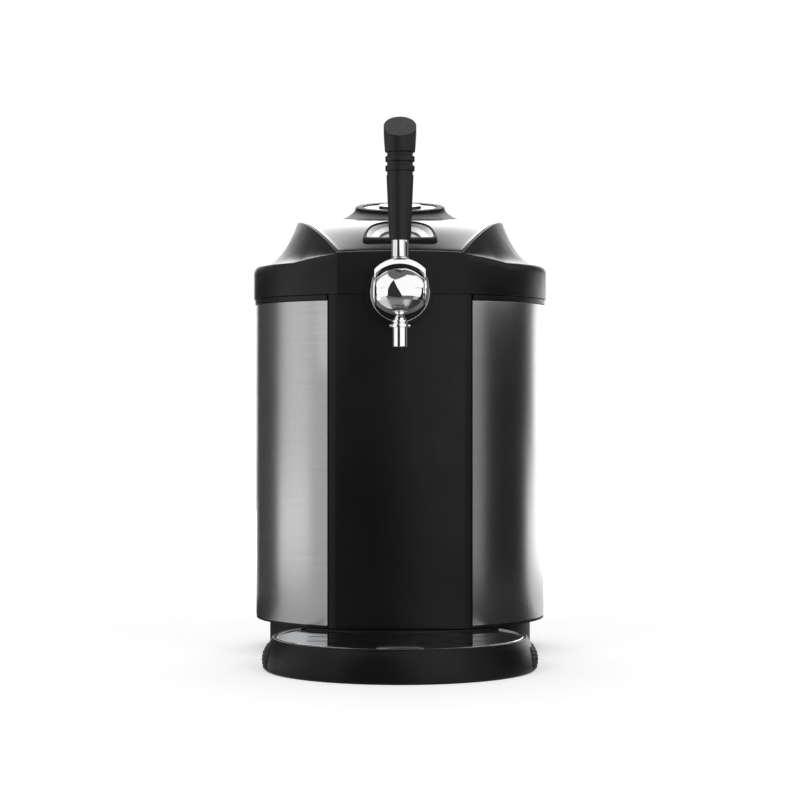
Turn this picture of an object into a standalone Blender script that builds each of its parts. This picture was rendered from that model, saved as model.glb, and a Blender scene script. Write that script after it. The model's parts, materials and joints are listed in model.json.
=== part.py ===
"""Cooled dispenser for one small beer keg, with a lever tap, a drip tray and a hinged lid.

Metres, +Z up, tap side towards -Y. The origin lies on the table, in the middle of the
dispenser's outline. The body is a round drum on a vertical axis; nearly every piece is
drawn round that axis, which the empty body_axis places.
"""

import math

import bmesh
import bpy
from mathutils import Matrix, Vector

# Fits
FIT_GAP = 0.0003
RUNNING_GAP = 0.0006
CUT_OVERRUN = 0.003
MERGE_DISTANCE = 0.000001
UNION_SINK = 0.0005

# Angles and facet counts
FULL_TURN = 2.0 * math.pi
HALF_TURN = math.pi
RIGHT_ANGLE = 0.5 * math.pi
SMOOTH_ANGLE = math.radians(32.0)
BODY_STEPS = 48
HOUSING_STEPS = 36
CHAMBER_STEPS = 32
CROWN_STEPS = 30
SHIELD_STEPS = 26
BALL_STEPS = 22
BORE_STEPS = 18
SMALL_STEPS = 12
FOOT_STEPS = 12
COVER_STEPS = 10
PANEL_STEPS = 18
NUT_STEPS = 24
FAN_STEPS = 24
TUBE_STEPS = 8

# Body drum: the round body, its flat front and the inset of what stands on it
BODY_RADIUS = 0.1375
FACE_INSET = 0.0119
PANEL_INSET = 0.0021
NECK_INSET = 0.0148
FACE_DEPTH = BODY_RADIUS - FACE_INSET
FACE_HALF = math.sqrt(BODY_RADIUS ** 2 - FACE_DEPTH ** 2)
FACE_ANGLE = math.asin(FACE_HALF / BODY_RADIUS)
PANEL_RADIUS = BODY_RADIUS - PANEL_INSET
NECK_RADIUS = BODY_RADIUS - NECK_INSET

# Walls of the body shells
COLUMN_WALL = 0.0025
PANEL_WALL = 0.0015
HOUSING_WALL = 0.0025
COVER_WALL = PANEL_WALL
HOUSING_RADIUS = PANEL_RADIUS - PANEL_WALL - FIT_GAP
HOUSING_FACE = FACE_DEPTH - COLUMN_WALL - FIT_GAP
HOUSING_BORE = HOUSING_RADIUS - HOUSING_WALL
HOUSING_BORE_FACE = HOUSING_FACE - HOUSING_WALL

# Angles round the body, from the front
COLUMN_EDGE_ANGLE = math.radians(27.55)
PANEL_FRONT_ANGLE = math.radians(28.6)
PANEL_REAR_ANGLE = math.radians(146.0)
COVER_EDGE_ANGLE = math.radians(146.3)

# Heights of the base
FOOT_HEIGHT = 0.003
FOOT_RECESS = 0.0015
FOOT_RADIUS = 0.009
FOOT_CIRCLE_SHARE = 0.82
BASE_FLOOR = 0.0025
BASE_WALL = 0.0045
BASE_EDGE = 0.0015
FLANGE_TOP = 0.0302
FLANGE_THICKNESS = 0.0016
FLANGE_BOTTOM = FLANGE_TOP - FLANGE_THICKNESS
COLUMN_BOTTOM = FLANGE_BOTTOM
VENT_SLOTS = 6
VENT_WIDTH = 0.004
VENT_LENGTH = 0.05
VENT_PITCH = 0.012
POST_RADIUS = 0.0035
POST_BORE = 0.0012
POST_HEIGHT = 0.006

# Heights of the body
PANEL_HEIGHT = 0.2906
TRIM_HEIGHT = 0.0046
TRIM_INSET = 0.0011
PANEL_BOTTOM = FLANGE_TOP + FIT_GAP
PANEL_TOP = PANEL_BOTTOM + PANEL_HEIGHT
TRIM_BOTTOM = PANEL_TOP + FIT_GAP
TRIM_TOP = TRIM_BOTTOM + TRIM_HEIGHT
SEAM_HEIGHT = TRIM_TOP + FIT_GAP

# Collar: plain band, rounded shoulder, concave sweep up to the crest, ledge and skirt
COLLAR_WALL = 0.002
BAND_HEIGHT = 0.0230
SHOULDER_RISE = 0.0070
SHOULDER_ROUND = 0.0036
SHOULDER_ROUND_SHARE = 0.35
FRONT_RISE = 0.0065
FRONT_RISE_START_SHARE = 0.77
SWEEP_POWER = 2.1
CREST_WIDTH = 0.0015
DECK_WIDTH = 0.0120
DECK_POWER = 4.0
LEDGE_WIDTH = 0.0035
FRONT_LEDGE_WIDTH = 0.0085
FRONT_LEDGE_END_SHARE = 0.5
BAND_TOP = SEAM_HEIGHT + BAND_HEIGHT
ROUND_STEPS = 3
SWEEP_STEPS = 7
HIDDEN_STRIDE = 4

# Crest line in plan and the lid's surface over it
SHOULDER_RUN = 0.0390
RIDGE_HALF = BODY_RADIUS - SHOULDER_RUN
RIDGE_WIDEST_Y = 0.035
RIDGE_REAR_MARGIN = 0.0255
RIDGE_REAR = BODY_RADIUS - RIDGE_REAR_MARGIN - RIDGE_WIDEST_Y
RIDGE_POWER = 1.7
RIDGE_CORNER_POWER = 3.0
LID_RISE = 0.0782
LID_SUMMIT_Y = 0.025
LID_FRONT_FALL = 0.040
LID_REAR_FALL = 0.008
LID_FALL_POWER = 2.2
LID_DROOP = 0.0044
LID_SUMMIT = SEAM_HEIGHT + LID_RISE
RIDGE_REAR_Y = RIDGE_WIDEST_Y + RIDGE_REAR
FRONT_STEPS = 3
SIDE_STEPS = 8
REAR_STEPS = 8

# Lid shell, pan, foam and seal
LID_GAP = 0.0008
LID_WALL = 0.0024
LID_EDGE = 0.0030
LID_RING_SHARES = (0.0, 0.22, 0.45, 0.7, 1.0)
LID_MIDDLE_Y = -0.010
PAN_GAP = 0.0034
PAN_WALL = 0.0018
PAN_RISE = 0.028
PAN_BOTTOM = SEAM_HEIGHT + PAN_RISE
LID_FOAM_THICKNESS = 0.0060
SEAL_WIDTH = 0.0008
SEAL_HEIGHT = 0.0040
SEAL_RISE = 0.0020

# Finger scoop near the lid's front edge
SCOOP_HALF = 0.0333
SCOOP_MARGIN = 0.0136
SCOOP_LENGTH_SHARE = 0.5414
SCOOP_FRONT_Y = SCOOP_MARGIN - FACE_DEPTH
SCOOP_REAR_Y = SCOOP_FRONT_Y + SCOOP_LENGTH_SHARE * FACE_DEPTH
SCOOP_RIM = 0.0026
SCOOP_FRONT_RIM = 0.0120
SCOOP_PROUD = 0.0008
SCOOP_RIM_DEPTH = 0.0028
SCOOP_CORNER_POWER = 2.4
DISH_WALL = 0.0012
DISH_DEPTH = 0.0062
DISH_SIZE_SHARES = (1.0, 0.86, 0.66, 0.60)
DISH_DEPTH_SHARES = (0.0, 0.45, 0.72, 1.0)
DISH_SHIFT_SHARE = 0.25
SCOOP_STEPS = 22

# Tilted round crown on the lid
CROWN_REAR_MARGIN = 0.0268
CROWN_BASE_SHARE = 0.5604
CROWN_TOP_SHARE = 0.7736
CROWN_BASE_RADIUS = CROWN_BASE_SHARE * RIDGE_HALF
CROWN_Y = RIDGE_REAR_Y - CROWN_REAR_MARGIN - CROWN_BASE_RADIUS
CROWN_TOP_RADIUS = CROWN_TOP_SHARE * CROWN_BASE_RADIUS
CROWN_RISE = 0.0130
CROWN_TILT = math.radians(10.6)
CROWN_WALL = 0.0022
CROWN_RIM = 0.0075
CROWN_BEVEL = 0.0016
CROWN_RECESS = 0.0030
CROWN_HEIGHT = LID_SUMMIT + CROWN_RISE
PLATE_THICKNESS = 0.0016
CAP_SHARE = 0.4824
CAP_RADIUS = CAP_SHARE * CROWN_TOP_RADIUS
CAP_HEIGHT = 0.0022
CAP_EDGE = 0.0008

# Lid hinge
HINGE_MARGIN = 0.0090
HINGE_Y = RIDGE_REAR_Y - HINGE_MARGIN
BARREL_RADIUS = 0.0032
BARREL_CLEARANCE = 0.0006
HINGE_PIN_RADIUS = 0.0015
LEAF_HALF = 0.0110
LEAF_THICKNESS = 0.0015
LEAF_LENGTH = 0.0100
LEAF_WRAP_SHARE = 0.75
KNUCKLE_LENGTH = 0.0150
BRACKET_FRONT = 0.0016
BRACKET_REAR = 0.0066

# Keg chamber
KEG_LENGTH = 0.2504
CHAMBER_MARGIN = 0.0495
CHAMBER_RADIUS = BODY_RADIUS - CHAMBER_MARGIN
CHAMBER_OFFSET = 0.010
LINER_WALL = 0.0015
LINER_FLANGE = 0.0050
FLOOR_THICKNESS = 0.0030
FOAM_FLOOR = 0.0250
FOAM_WALL = 0.0142
FOAM_FIT = 0.0003
CHAMBER_RIM_THICKNESS = 0.0025
CHAMBER_Y = -CHAMBER_OFFSET
LINER_RADIUS = CHAMBER_RADIUS + LINER_WALL
FOAM_BORE = LINER_RADIUS + FOAM_FIT
FOAM_RADIUS = FOAM_BORE + FOAM_WALL
FLOOR_BOTTOM = FLANGE_TOP + FIT_GAP
FLOOR_TOP = FLOOR_BOTTOM + FLOOR_THICKNESS
FOAM_BOTTOM = FLOOR_TOP + FIT_GAP
FOAM_FLOOR_TOP = FOAM_BOTTOM + FOAM_FLOOR
LINER_BOTTOM = FOAM_FLOOR_TOP + FIT_GAP

# Tap
TAP_ABOVE_SEAM = 0.0012
TAP_REACH = 0.0400
TAP_HEIGHT = SEAM_HEIGHT + TAP_ABOVE_SEAM
TAP_Y = -FACE_DEPTH - TAP_REACH
BALL_RADIUS = 0.0220
CHEEK_HALF = 0.0209
BALL_FOOT = 0.0210
NECK_TUBE_RADIUS = 0.0115
SOCKET_DEPTH = 0.0080
ESCUTCHEON_RADIUS = 0.0296
ESCUTCHEON_DEPTH = 0.0062
ESCUTCHEON_EDGE = 0.0026
ESCUTCHEON_DISH = 0.0022
ESCUTCHEON_FACE_SHARE = 0.75
ESCUTCHEON_DISH_SHARE = 0.62
SHANK_RADIUS = 0.0080
SHANK_BORE = 0.0030
SHANK_INSIDE = 0.0220
NUT_APOTHEM = 0.0112
NUT_LENGTH = 0.0070
NUT_CORNER = NUT_APOTHEM / math.cos(math.pi / 6.0)
PIVOT_PIN_RADIUS = 0.0030

# Lever: yoke, stem and handle
YOKE_GAP = 0.0015
YOKE_THICKNESS = 0.0042
YOKE_WIDTH = 0.0140
YOKE_OUTER_HALF = 0.0240
YOKE_DISC_RADIUS = 0.0140
YOKE_DISC_DOME = 0.0015
YOKE_DISC_SHARES = ((1.0, 0.0), (0.8, 0.6), (0.4, 1.0), (0.0, 1.0))
YOKE_DISC_STEP = 0.0002
YOKE_ARM_DROP = 0.0045
YOKE_ARCH_STEPS = 14
STEM_RADIUS = 0.0073
STEM_HEIGHT = 0.0146
STEM_BOSS_RISE = 0.0010
STEM_CHAMFER = 0.0006
HANDLE_FOOT_RADIUS = 0.0094
HANDLE_TAPER_RADIUS = 0.0118
HANDLE_TAPER_HEIGHT = 0.0563
GROOVE_RADIUS = 0.0112
GROOVE_HEIGHT = 0.0036
RING_RADIUS = 0.0128
RING_HEIGHT = 0.0046
RING_EDGE = 0.0005
HANDLE_RINGS = 2
GRIP_RADIUS = 0.0131
GRIP_TOP_RADIUS = 0.0143
GRIP_HEIGHT = 0.0330
GRIP_BELLY_SHARE = 0.62
HANDLE_SLANT = math.radians(35.0)
SLANT_EDGE = 0.0012

# Spout and its loose ring
SPOUT_TOP_RADIUS = 0.0036
SPOUT_CONE_RADIUS = 0.0060
SPOUT_CONE_HEIGHT = 0.0046
SPOUT_FLANGE_RADIUS = 0.0070
SPOUT_FLANGE_HEIGHT = 0.0020
SPOUT_TUBE_RADIUS = 0.00625
SPOUT_TUBE_HEIGHT = 0.0212
SPOUT_BORE = 0.0046
SPOUT_BORE_SHARE = 0.85
SPOUT_RING_RADIUS = 0.0078
SPOUT_RING_HEIGHT = 0.0030
SPOUT_RING_DROP = 0.0014
SPOUT_LUG_RADIUS = 0.0013
SPOUT_LUG_REACH = 0.0012

# Drip tray, seen from its own centre
TRAY_REACH = 0.1746
BOWL_RADIUS = 0.1174
BOWL_WALL = 0.0030
BOWL_TOP_INSET = 0.0076
BOWL_BELLY_SHARES = ((0.9995, 0.02), (0.994, 0.24), (0.984, 0.52), (0.968, 0.78), (0.946, 0.95))
BOWL_FLOOR = 0.0025
BOWL_INSIDE_SHARES = (0.5, 0.1)
DOCK_GAP = 0.0006
LIP_WIDTH = 0.0023
PLATE_LEDGE = 0.0032
PLATE_CLEARANCE = 0.0020
PLATE_BITE = BODY_RADIUS + PLATE_CLEARANCE
PLATE_RECESS = 0.0010
LEDGE_DEPTH = 0.0020
GRILLE_THICKNESS = 0.0012
GRILLE_GAP = 0.0006
BOWL_STEPS = 36
BITE_STEPS = 8
BOWL_HEIGHT = FLANGE_BOTTOM - RUNNING_GAP
AXIS_Y = 0.5 * (TRAY_REACH + BOWL_RADIUS - BODY_RADIUS)

# Slots and lift tab of the drip plate
SLOT_LENGTH = 0.0200
SLOT_WIDTH = 0.0042
SLOT_PITCH = 0.0350
SLOT_ROW_PITCH = 0.0175
SLOT_MARGIN = 0.0150
SLOT_REAR_MARGIN = 0.0050
SLOT_END_STEPS = 3
TAB_HALF = 0.0193
TAB_LENGTH = 0.0200
TAB_RISE = 0.0042
TAB_EDGE = 0.0080
TAB_START_SHARE = 0.12
TAB_FALL_SHARE = 0.25
TAB_ROUND_SHARE = 0.98
TAB_TIP_SHARE = 0.75
TAB_STEPS = 12

# Grips at the sides of the bowl
GRIP_PAD_BOTTOM = 0.0017
GRIP_PAD_HEIGHT = 0.0190
GRIP_PAD_THICKNESS = 0.0029
GRIP_PAD_ANGLE = math.radians(13.0)
GRIP_RIBS = 6
GRIP_STATIONS = 8
GRIP_RIB_DEPTH = 0.0006
GRIP_EDGE_SHARE = 0.35

# Rear cover, its louvres and screws
LOUVRE_HALF = 0.0400
LOUVRE_HEIGHT = 0.0034
LOUVRE_PITCH = 0.0088
LOUVRE_ROWS = 7
LOUVRE_TILT = math.radians(28.0)
COVER_SCREW_RADIUS = 0.0032
COVER_SCREW_HEAD = 0.0014
COVER_SCREW_TOP_SHARE = 0.7
COVER_SCREW_ANGLE = math.radians(29.0)
COVER_SCREW_INSET = 0.0090
WINDOW_HALF = 0.0560
WINDOW_MARGIN = 0.0120

# Cooling, measured along the rear of the chamber
COOLER_HEIGHT = 0.1870
BLOCK_HALF = 0.0220
BLOCK_HEIGHT = 0.0600
BLOCK_THICKNESS = 0.0107
PELTIER_SIZE = 0.0400
PELTIER_THICKNESS = 0.0038
SINK_SIZE = 0.0840
SINK_BASE = 0.0035
SINK_DEPTH = 0.0140
FINS = 13
FIN_WIDTH = 0.0016
FAN_SIZE = 0.0800
FAN_DEPTH = 0.0130
FAN_BORE = 0.0375
FAN_HUB_RADIUS = 0.0165
FAN_HUB_WALL = 0.0015
FAN_BLADES = 7
FAN_BLADE_WALL = 0.0014
FAN_BLADE_PITCH = math.radians(38.0)
FAN_BLADE_CLEARANCE = 0.0012
FAN_SPIDER_WIDTH = 0.0040
FAN_SPIDER_DEPTH = 0.0020
FAN_BEARING_RADIUS = 0.0090
FAN_AXLE_RADIUS = 0.0020

# Power inlet and rocker switch
INLET_HEIGHT = 0.0620
INLET_FLANGE_WIDTH = 0.0330
INLET_FLANGE_HEIGHT = 0.0260
INLET_FLANGE = 0.0018
INLET_BODY_WIDTH = 0.0272
INLET_BODY_HEIGHT = 0.0200
INLET_BODY_DEPTH = 0.0200
INLET_SOCKET_WIDTH = 0.0240
INLET_SOCKET_HEIGHT = 0.0164
INLET_SOCKET_DEPTH = 0.0160
INLET_PIN_WIDTH = 0.0020
INLET_PIN_HEIGHT = 0.0044
INLET_PIN_LENGTH = 0.0120
INLET_PIN_PITCH = 0.0070
INLET_EARTH_RISE = 0.0032
SEAT_INSET = 0.0014
PAD_INSET = 0.0017
PAD_THICKNESS = 0.0026
PAD_MARGIN = 0.0020
SWITCH_HEIGHT = 0.1010
SWITCH_FLANGE_WIDTH = 0.0250
SWITCH_FLANGE_HEIGHT = 0.0190
SWITCH_FLANGE = 0.0016
SWITCH_BODY_WIDTH = 0.0204
SWITCH_BODY_HEIGHT = 0.0144
SWITCH_BODY_DEPTH = 0.0150
SWITCH_WELL_WIDTH = 0.0176
SWITCH_WELL_HEIGHT = 0.0118
SWITCH_WELL_DEPTH = 0.0110
ROCKER_RADIUS = 0.0054
ROCKER_PROUD = 0.0022
ROCKER_SIDE_SHARE = 0.93
ROCKER_BROW_SHARE = 0.90
ROCKER_TILT = math.radians(9.0)

# Control board in the base
BOARD_WIDTH = 0.0900
BOARD_DEPTH = 0.0600
BOARD_THICKNESS = 0.0016
BOARD_Y = 0.0200
BOARD_INSET = 0.0050
COIL_PLACE_SHARE = 0.25
COIL_WIDTH = 0.0240
COIL_DEPTH = 0.0200
COIL_HEIGHT = 0.0110
CAPACITORS = 3
CAPACITOR_RADIUS = 0.0050
CAPACITOR_HEIGHT = 0.0115
CAPACITOR_PITCH_SHARE = 3.0
TERMINAL_WIDTH = 0.0200
TERMINAL_DEPTH = 0.0080
TERMINAL_HEIGHT = 0.0090

# Keg coupler, beer tube and gas supply
COUPLER_RADIUS = 0.0170
COUPLER_LIP_RADIUS = 0.0205
COUPLER_LIP = 0.0040
COUPLER_HEIGHT = 0.0260
COUPLER_NECK_RADIUS = 0.0100
COUPLER_NECK_SHARE = 0.55
COUPLER_LIFT = 0.0030
PORT_RADIUS = 0.0035
PORT_LENGTH = 0.0080
TUBE_RADIUS = 0.0045
TUBE_WALL = 0.0015
TUBE_STATIONS = 8
TUBE_SWELL_SHARE = 0.45
REGULATOR_X = 0.0360
REGULATOR_RADIUS = 0.0120
REGULATOR_LENGTH = 0.0240
REGULATOR_EDGE = 0.0012
SLEEVE_RADIUS = 0.0125
SLEEVE_CLEARANCE = 0.0091
SLEEVE_LENGTH = (math.sqrt((CHAMBER_RADIUS - SLEEVE_CLEARANCE) ** 2 - (REGULATOR_X + SLEEVE_RADIUS) ** 2)
                 - 0.5 * REGULATOR_LENGTH)
SLEEVE_WALL = 0.0015
SLEEVE_RIBS = 12
SLEEVE_RIB_DEPTH = 0.0008
SLEEVE_END_SHARE = 0.3
KNOB_RADIUS = 0.0110
KNOB_LENGTH = 0.0110
KNOB_FLUTES = 12
KNOB_FLUTE_DEPTH = 0.0010

# Heights that follow from the tap
CHAMBER_RIM_TOP = TAP_HEIGHT - NUT_CORNER - FIT_GAP
CHAMBER_RIM_BOTTOM = CHAMBER_RIM_TOP - CHAMBER_RIM_THICKNESS
LINER_TOP = CHAMBER_RIM_BOTTOM - FIT_GAP
FOAM_TOP = LINER_TOP - LINER_WALL - FIT_GAP
SKIRT_BOTTOM = CHAMBER_RIM_TOP + FIT_GAP

# Finishes: colour, roughness, metallic
SATIN_BLACK = ((0.020, 0.020, 0.021), 0.38, 0.0)
MATT_BLACK = ((0.015, 0.015, 0.016), 0.60, 0.0)
SOFT_BLACK = ((0.012, 0.012, 0.013), 0.50, 0.0)
BRUSHED_STEEL = ((0.30, 0.30, 0.31), 0.32, 1.0)
CHROME = ((0.86, 0.87, 0.88), 0.04, 1.0)
MIRROR_STEEL = ((0.72, 0.73, 0.75), 0.10, 1.0)
SATIN_SILVER = ((0.62, 0.62, 0.63), 0.22, 1.0)
ALUMINIUM = ((0.75, 0.76, 0.77), 0.35, 1.0)
ZINC = ((0.55, 0.56, 0.57), 0.40, 1.0)
RUBBER = ((0.018, 0.018, 0.018), 0.85, 0.0)
FOAM = ((0.80, 0.79, 0.76), 0.95, 0.0)
WHITE_PLASTIC = ((0.78, 0.78, 0.77), 0.45, 0.0)
GREY_PLASTIC = ((0.20, 0.20, 0.21), 0.50, 0.0)
CERAMIC = ((0.85, 0.85, 0.83), 0.55, 0.0)
BOARD_GREEN = ((0.03, 0.16, 0.08), 0.45, 0.0)
CLEAR_TUBE = ((0.82, 0.84, 0.84), 0.20, 0.0)


def clear_scene():
    """Start from an empty file."""
    for item in list(bpy.data.objects):
        bpy.data.objects.remove(item, do_unlink=True)


def new_finish(name, finish):
    """Return a Principled material for one part."""
    colour, roughness, metallic = finish
    material = bpy.data.materials.new(name)
    material.use_nodes = True
    shader = material.node_tree.nodes["Principled BSDF"]
    shader.inputs["Base Color"].default_value = (*colour, 1.0)
    shader.inputs["Roughness"].default_value = roughness
    shader.inputs["Metallic"].default_value = metallic
    return material


def add_empty(name, parent=None, location=(0.0, 0.0, 0.0)):
    """Add an empty that places the pieces parented to it."""
    empty = bpy.data.objects.new(name, None)
    bpy.context.scene.collection.objects.link(empty)
    empty.parent = parent
    empty.location = location
    return empty


def add_mesh(name, bm, parent):
    """Turn a bmesh into an object under its parent."""
    mesh = bpy.data.meshes.new(name)
    bm.to_mesh(mesh)
    bm.free()
    item = bpy.data.objects.new(name, mesh)
    bpy.context.scene.collection.objects.link(item)
    item.parent = parent
    return item


def add_part(name, bm, finish, parent):
    """Add one sub-part, shaded smooth with its sharp edges kept."""
    part = add_mesh(name, bm, parent)
    part.data.shade_smooth()
    part.data.set_sharp_from_angle(angle=SMOOTH_ANGLE)
    part.data.materials.append(new_finish(name + "_finish", finish))
    return part


def add_tool(name, bm, parent):
    """Add a shape that only cuts or joins others."""
    tool = add_mesh(name, bm, parent)
    tool.hide_render = True
    tool.display_type = "WIRE"
    return tool


def combine(part, tool, operation="DIFFERENCE"):
    """Cut a tool from a part, or join it on."""
    modifier = part.modifiers.new(tool.name, "BOOLEAN")
    modifier.operation = operation
    modifier.solver = "EXACT"
    modifier.object = tool


def tidied(bm):
    """Weld coincident points, drop what collapsed and face everything outwards."""
    bmesh.ops.remove_doubles(bm, verts=bm.verts, dist=MERGE_DISTANCE)
    loose_edges = [edge for edge in bm.edges if not edge.link_faces]
    bmesh.ops.delete(bm, geom=loose_edges, context="EDGES")
    bmesh.ops.recalc_face_normals(bm, faces=bm.faces)
    if bm.calc_volume(signed=True) < 0.0:
        bmesh.ops.reverse_faces(bm, faces=bm.faces)
    return bm


def loft(sections, loop=False):
    """Skin closed sections that have as many points each; an open loft gets end caps."""
    bm = bmesh.new()
    rings = [[bm.verts.new(point) for point in section] for section in sections]
    pairs = list(zip(rings, rings[1:]))
    if loop:
        pairs.append((rings[-1], rings[0]))
    for near, far in pairs:
        for index, corner in enumerate(near):
            following = (index + 1) % len(near)
            bm.faces.new((corner, near[following], far[following], far[index]))
    if not loop:
        bm.faces.new(rings[0])
        bm.faces.new(rings[-1])
    return tidied(bm)


def turned(profile, steps, start=0.0, sweep=FULL_TURN):
    """Turn a closed (radius, height) profile about Z; angles run from -Y towards +X."""
    whole = sweep >= FULL_TURN
    stations = steps if whole else steps + 1
    sections = []
    for index in range(stations):
        angle = start + sweep * index / steps
        sections.append([(radius * math.sin(angle), -radius * math.cos(angle), height)
                         for radius, height in profile])
    return loft(sections, loop=whole)


def rod(radius, low, high):
    """A short round bar along Z."""
    return turned([(0.0, low), (radius, low), (radius, high), (0.0, high)], SMALL_STEPS)


def prism(outline, low, high):
    """Raise a plan outline from one height to another."""
    return loft([[(x, y, height) for x, y in outline] for height in (low, high)])


def wall_between(outer, inner, low, high, loop):
    """Raise a wall between two plan outlines that have as many points each."""
    sections = []
    for (outer_x, outer_y), (inner_x, inner_y) in zip(outer, inner):
        sections.append([(outer_x, outer_y, low), (outer_x, outer_y, high),
                         (inner_x, inner_y, high), (inner_x, inner_y, low)])
    return loft(sections, loop)


def block(width, depth, height, centre=(0.0, 0.0, 0.0)):
    """A box about its centre."""
    half_width = 0.5 * width
    half_depth = 0.5 * depth
    outline = [(-half_width, -half_depth), (half_width, -half_depth),
               (half_width, half_depth), (-half_width, half_depth)]
    bm = prism(outline, -0.5 * height, 0.5 * height)
    return moved(bm, centre)


def moved(bm, offset):
    """Shift a bmesh."""
    bmesh.ops.translate(bm, verts=bm.verts, vec=Vector(offset))
    return bm


def turned_about(bm, axis, angle):
    """Rotate a bmesh about an axis through its own origin."""
    bmesh.ops.rotate(bm, verts=bm.verts, cent=Vector(), matrix=Matrix.Rotation(angle, 3, axis))
    return bm


def facing_front(bm):
    """Lay a shape that was built up +Z along -Y."""
    return turned_about(bm, "X", RIGHT_ANGLE)


def facing_rear(bm):
    """Lay a shape that was built up +Z along +Y."""
    return turned_about(bm, "X", -RIGHT_ANGLE)


def facing_right(bm):
    """Lay a shape that was built up +Z along +X."""
    return turned_about(bm, "Y", RIGHT_ANGLE)


def gathered(shapes):
    """Collect separate shapes in one bmesh."""
    bm = bmesh.new()
    for shape in shapes:
        mesh = bpy.data.meshes.new("gathered")
        shape.to_mesh(mesh)
        shape.free()
        bm.from_mesh(mesh)
        bpy.data.meshes.remove(mesh)
    return bm


def circle(radius, steps, centre=(0.0, 0.0)):
    """Points of a circle in plan, from -Y towards +X."""
    return [(centre[0] + radius * math.sin(FULL_TURN * index / steps),
             centre[1] - radius * math.cos(FULL_TURN * index / steps)) for index in range(steps)]


def polygon_outline(apothem, sides, steps):
    """A regular polygon sampled at even angles, so that it pairs with a circle."""
    half_side_angle = math.pi / sides
    points = []
    for index in range(steps):
        angle = FULL_TURN * index / steps
        offset = (angle + half_side_angle) % (2.0 * half_side_angle) - half_side_angle
        radius = apothem / math.cos(offset)
        points.append((radius * math.sin(angle), -radius * math.cos(angle)))
    return points


def stadium(length, width, centre):
    """A slot with round ends, its length along X."""
    radius = 0.5 * width
    reach = 0.5 * length - radius
    points = []
    for side in (1.0, -1.0):
        for index in range(SLOT_END_STEPS + 1):
            angle = HALF_TURN * index / SLOT_END_STEPS
            points.append((centre[0] + side * (reach + radius * math.sin(angle)),
                           centre[1] - side * radius * math.cos(angle)))
    return points


def body_outline(radius, face, start, end, steps):
    """Plan points round the body from one angle to another, flattened at the front."""
    points = []
    for index in range(steps + 1):
        angle = start + (end - start) * index / steps
        points.append(body_point(radius, face, angle))
    return points


def body_point(radius, face, angle):
    """The point of the body's plan in one direction from its axis."""
    reach = radius
    if math.cos(angle) > face / radius:
        reach = face / math.cos(angle)
    return (reach * math.sin(angle), -reach * math.cos(angle))


def drum_outline(radius, face):
    """The whole plan of the body, with a point at each end of the flat front."""
    corner = math.acos(face / radius)
    points = body_outline(radius, face, corner, FULL_TURN - corner, HOUSING_STEPS)
    return points + body_outline(radius, face, -corner, corner, FRONT_STEPS * 2)[1:-1]


def ridge_half_width(y):
    """Half the width between the crest lines, in front of their widest place."""
    share = max(0.0, (RIDGE_WIDEST_Y - y) / (RIDGE_WIDEST_Y + FACE_DEPTH))
    front_waist = RIDGE_HALF - FACE_HALF
    return RIDGE_HALF - front_waist * share ** RIDGE_POWER


def lid_surface(x, y):
    """Height of the lid's crowned surface, which the crest lines follow."""
    if y < LID_SUMMIT_Y:
        share = (LID_SUMMIT_Y - y) / (LID_SUMMIT_Y + FACE_DEPTH)
        fall = LID_FRONT_FALL * share ** LID_FALL_POWER
    else:
        share = (y - LID_SUMMIT_Y) / (RIDGE_REAR_Y - LID_SUMMIT_Y)
        fall = LID_REAR_FALL * share ** LID_FALL_POWER
    return LID_SUMMIT - fall - LID_DROOP * (x / RIDGE_HALF) ** 2


def ridge_plan():
    """Plan points of the crest line, all the way round from the middle of the front."""
    right = [(FACE_HALF * index / FRONT_STEPS, -FACE_DEPTH) for index in range(FRONT_STEPS + 1)]
    for index in range(1, SIDE_STEPS + 1):
        y = -FACE_DEPTH + (RIDGE_WIDEST_Y + FACE_DEPTH) * index / SIDE_STEPS
        right.append((ridge_half_width(y), y))
    for index in range(1, REAR_STEPS + 1):
        angle = RIGHT_ANGLE * index / REAR_STEPS
        x = RIDGE_HALF * max(math.cos(angle), 0.0) ** (2.0 / RIDGE_CORNER_POWER)
        y = RIDGE_WIDEST_Y + RIDGE_REAR * math.sin(angle) ** (2.0 / RIDGE_CORNER_POWER)
        right.append((x, y))
    right[-1] = (0.0, RIDGE_REAR_Y)
    left = [(-x, y) for x, y in reversed(right[1:-1])]
    return right + left


def towards_axis(point, distance):
    """Move a plan point straight towards the body's axis."""
    reach = math.hypot(*point)
    share = (reach - distance) / reach
    return (point[0] * share, point[1] * share)


def crest_width(point):
    """Width of the crest: narrow at the sides, a deck for the hinge at the rear."""
    share = max(0.0, (point[1] - RIDGE_WIDEST_Y) / RIDGE_REAR)
    return CREST_WIDTH + (DECK_WIDTH - CREST_WIDTH) * share ** DECK_POWER


def ledge_width(point):
    """Width of the ledge that carries the lid, wider behind the flat front."""
    start = FRONT_LEDGE_END_SHARE * FACE_DEPTH
    share = min(1.0, max(0.0, (-point[1] - start) / (FACE_DEPTH - start)))
    return LEDGE_WIDTH + (FRONT_LEDGE_WIDTH - LEDGE_WIDTH) * share


def lid_edge(point):
    """The lid's edge beside one point of the crest line."""
    return towards_axis(point, crest_width(point) + LID_GAP)


def skirt_face(point):
    """The collar's inner face beside one point of the crest line."""
    return towards_axis(point, crest_width(point) + ledge_width(point))


def ledge_height(point):
    """Height of the ledge, just under the lid's edge."""
    return lid_surface(*lid_edge(point)) - LID_EDGE - FIT_GAP


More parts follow.
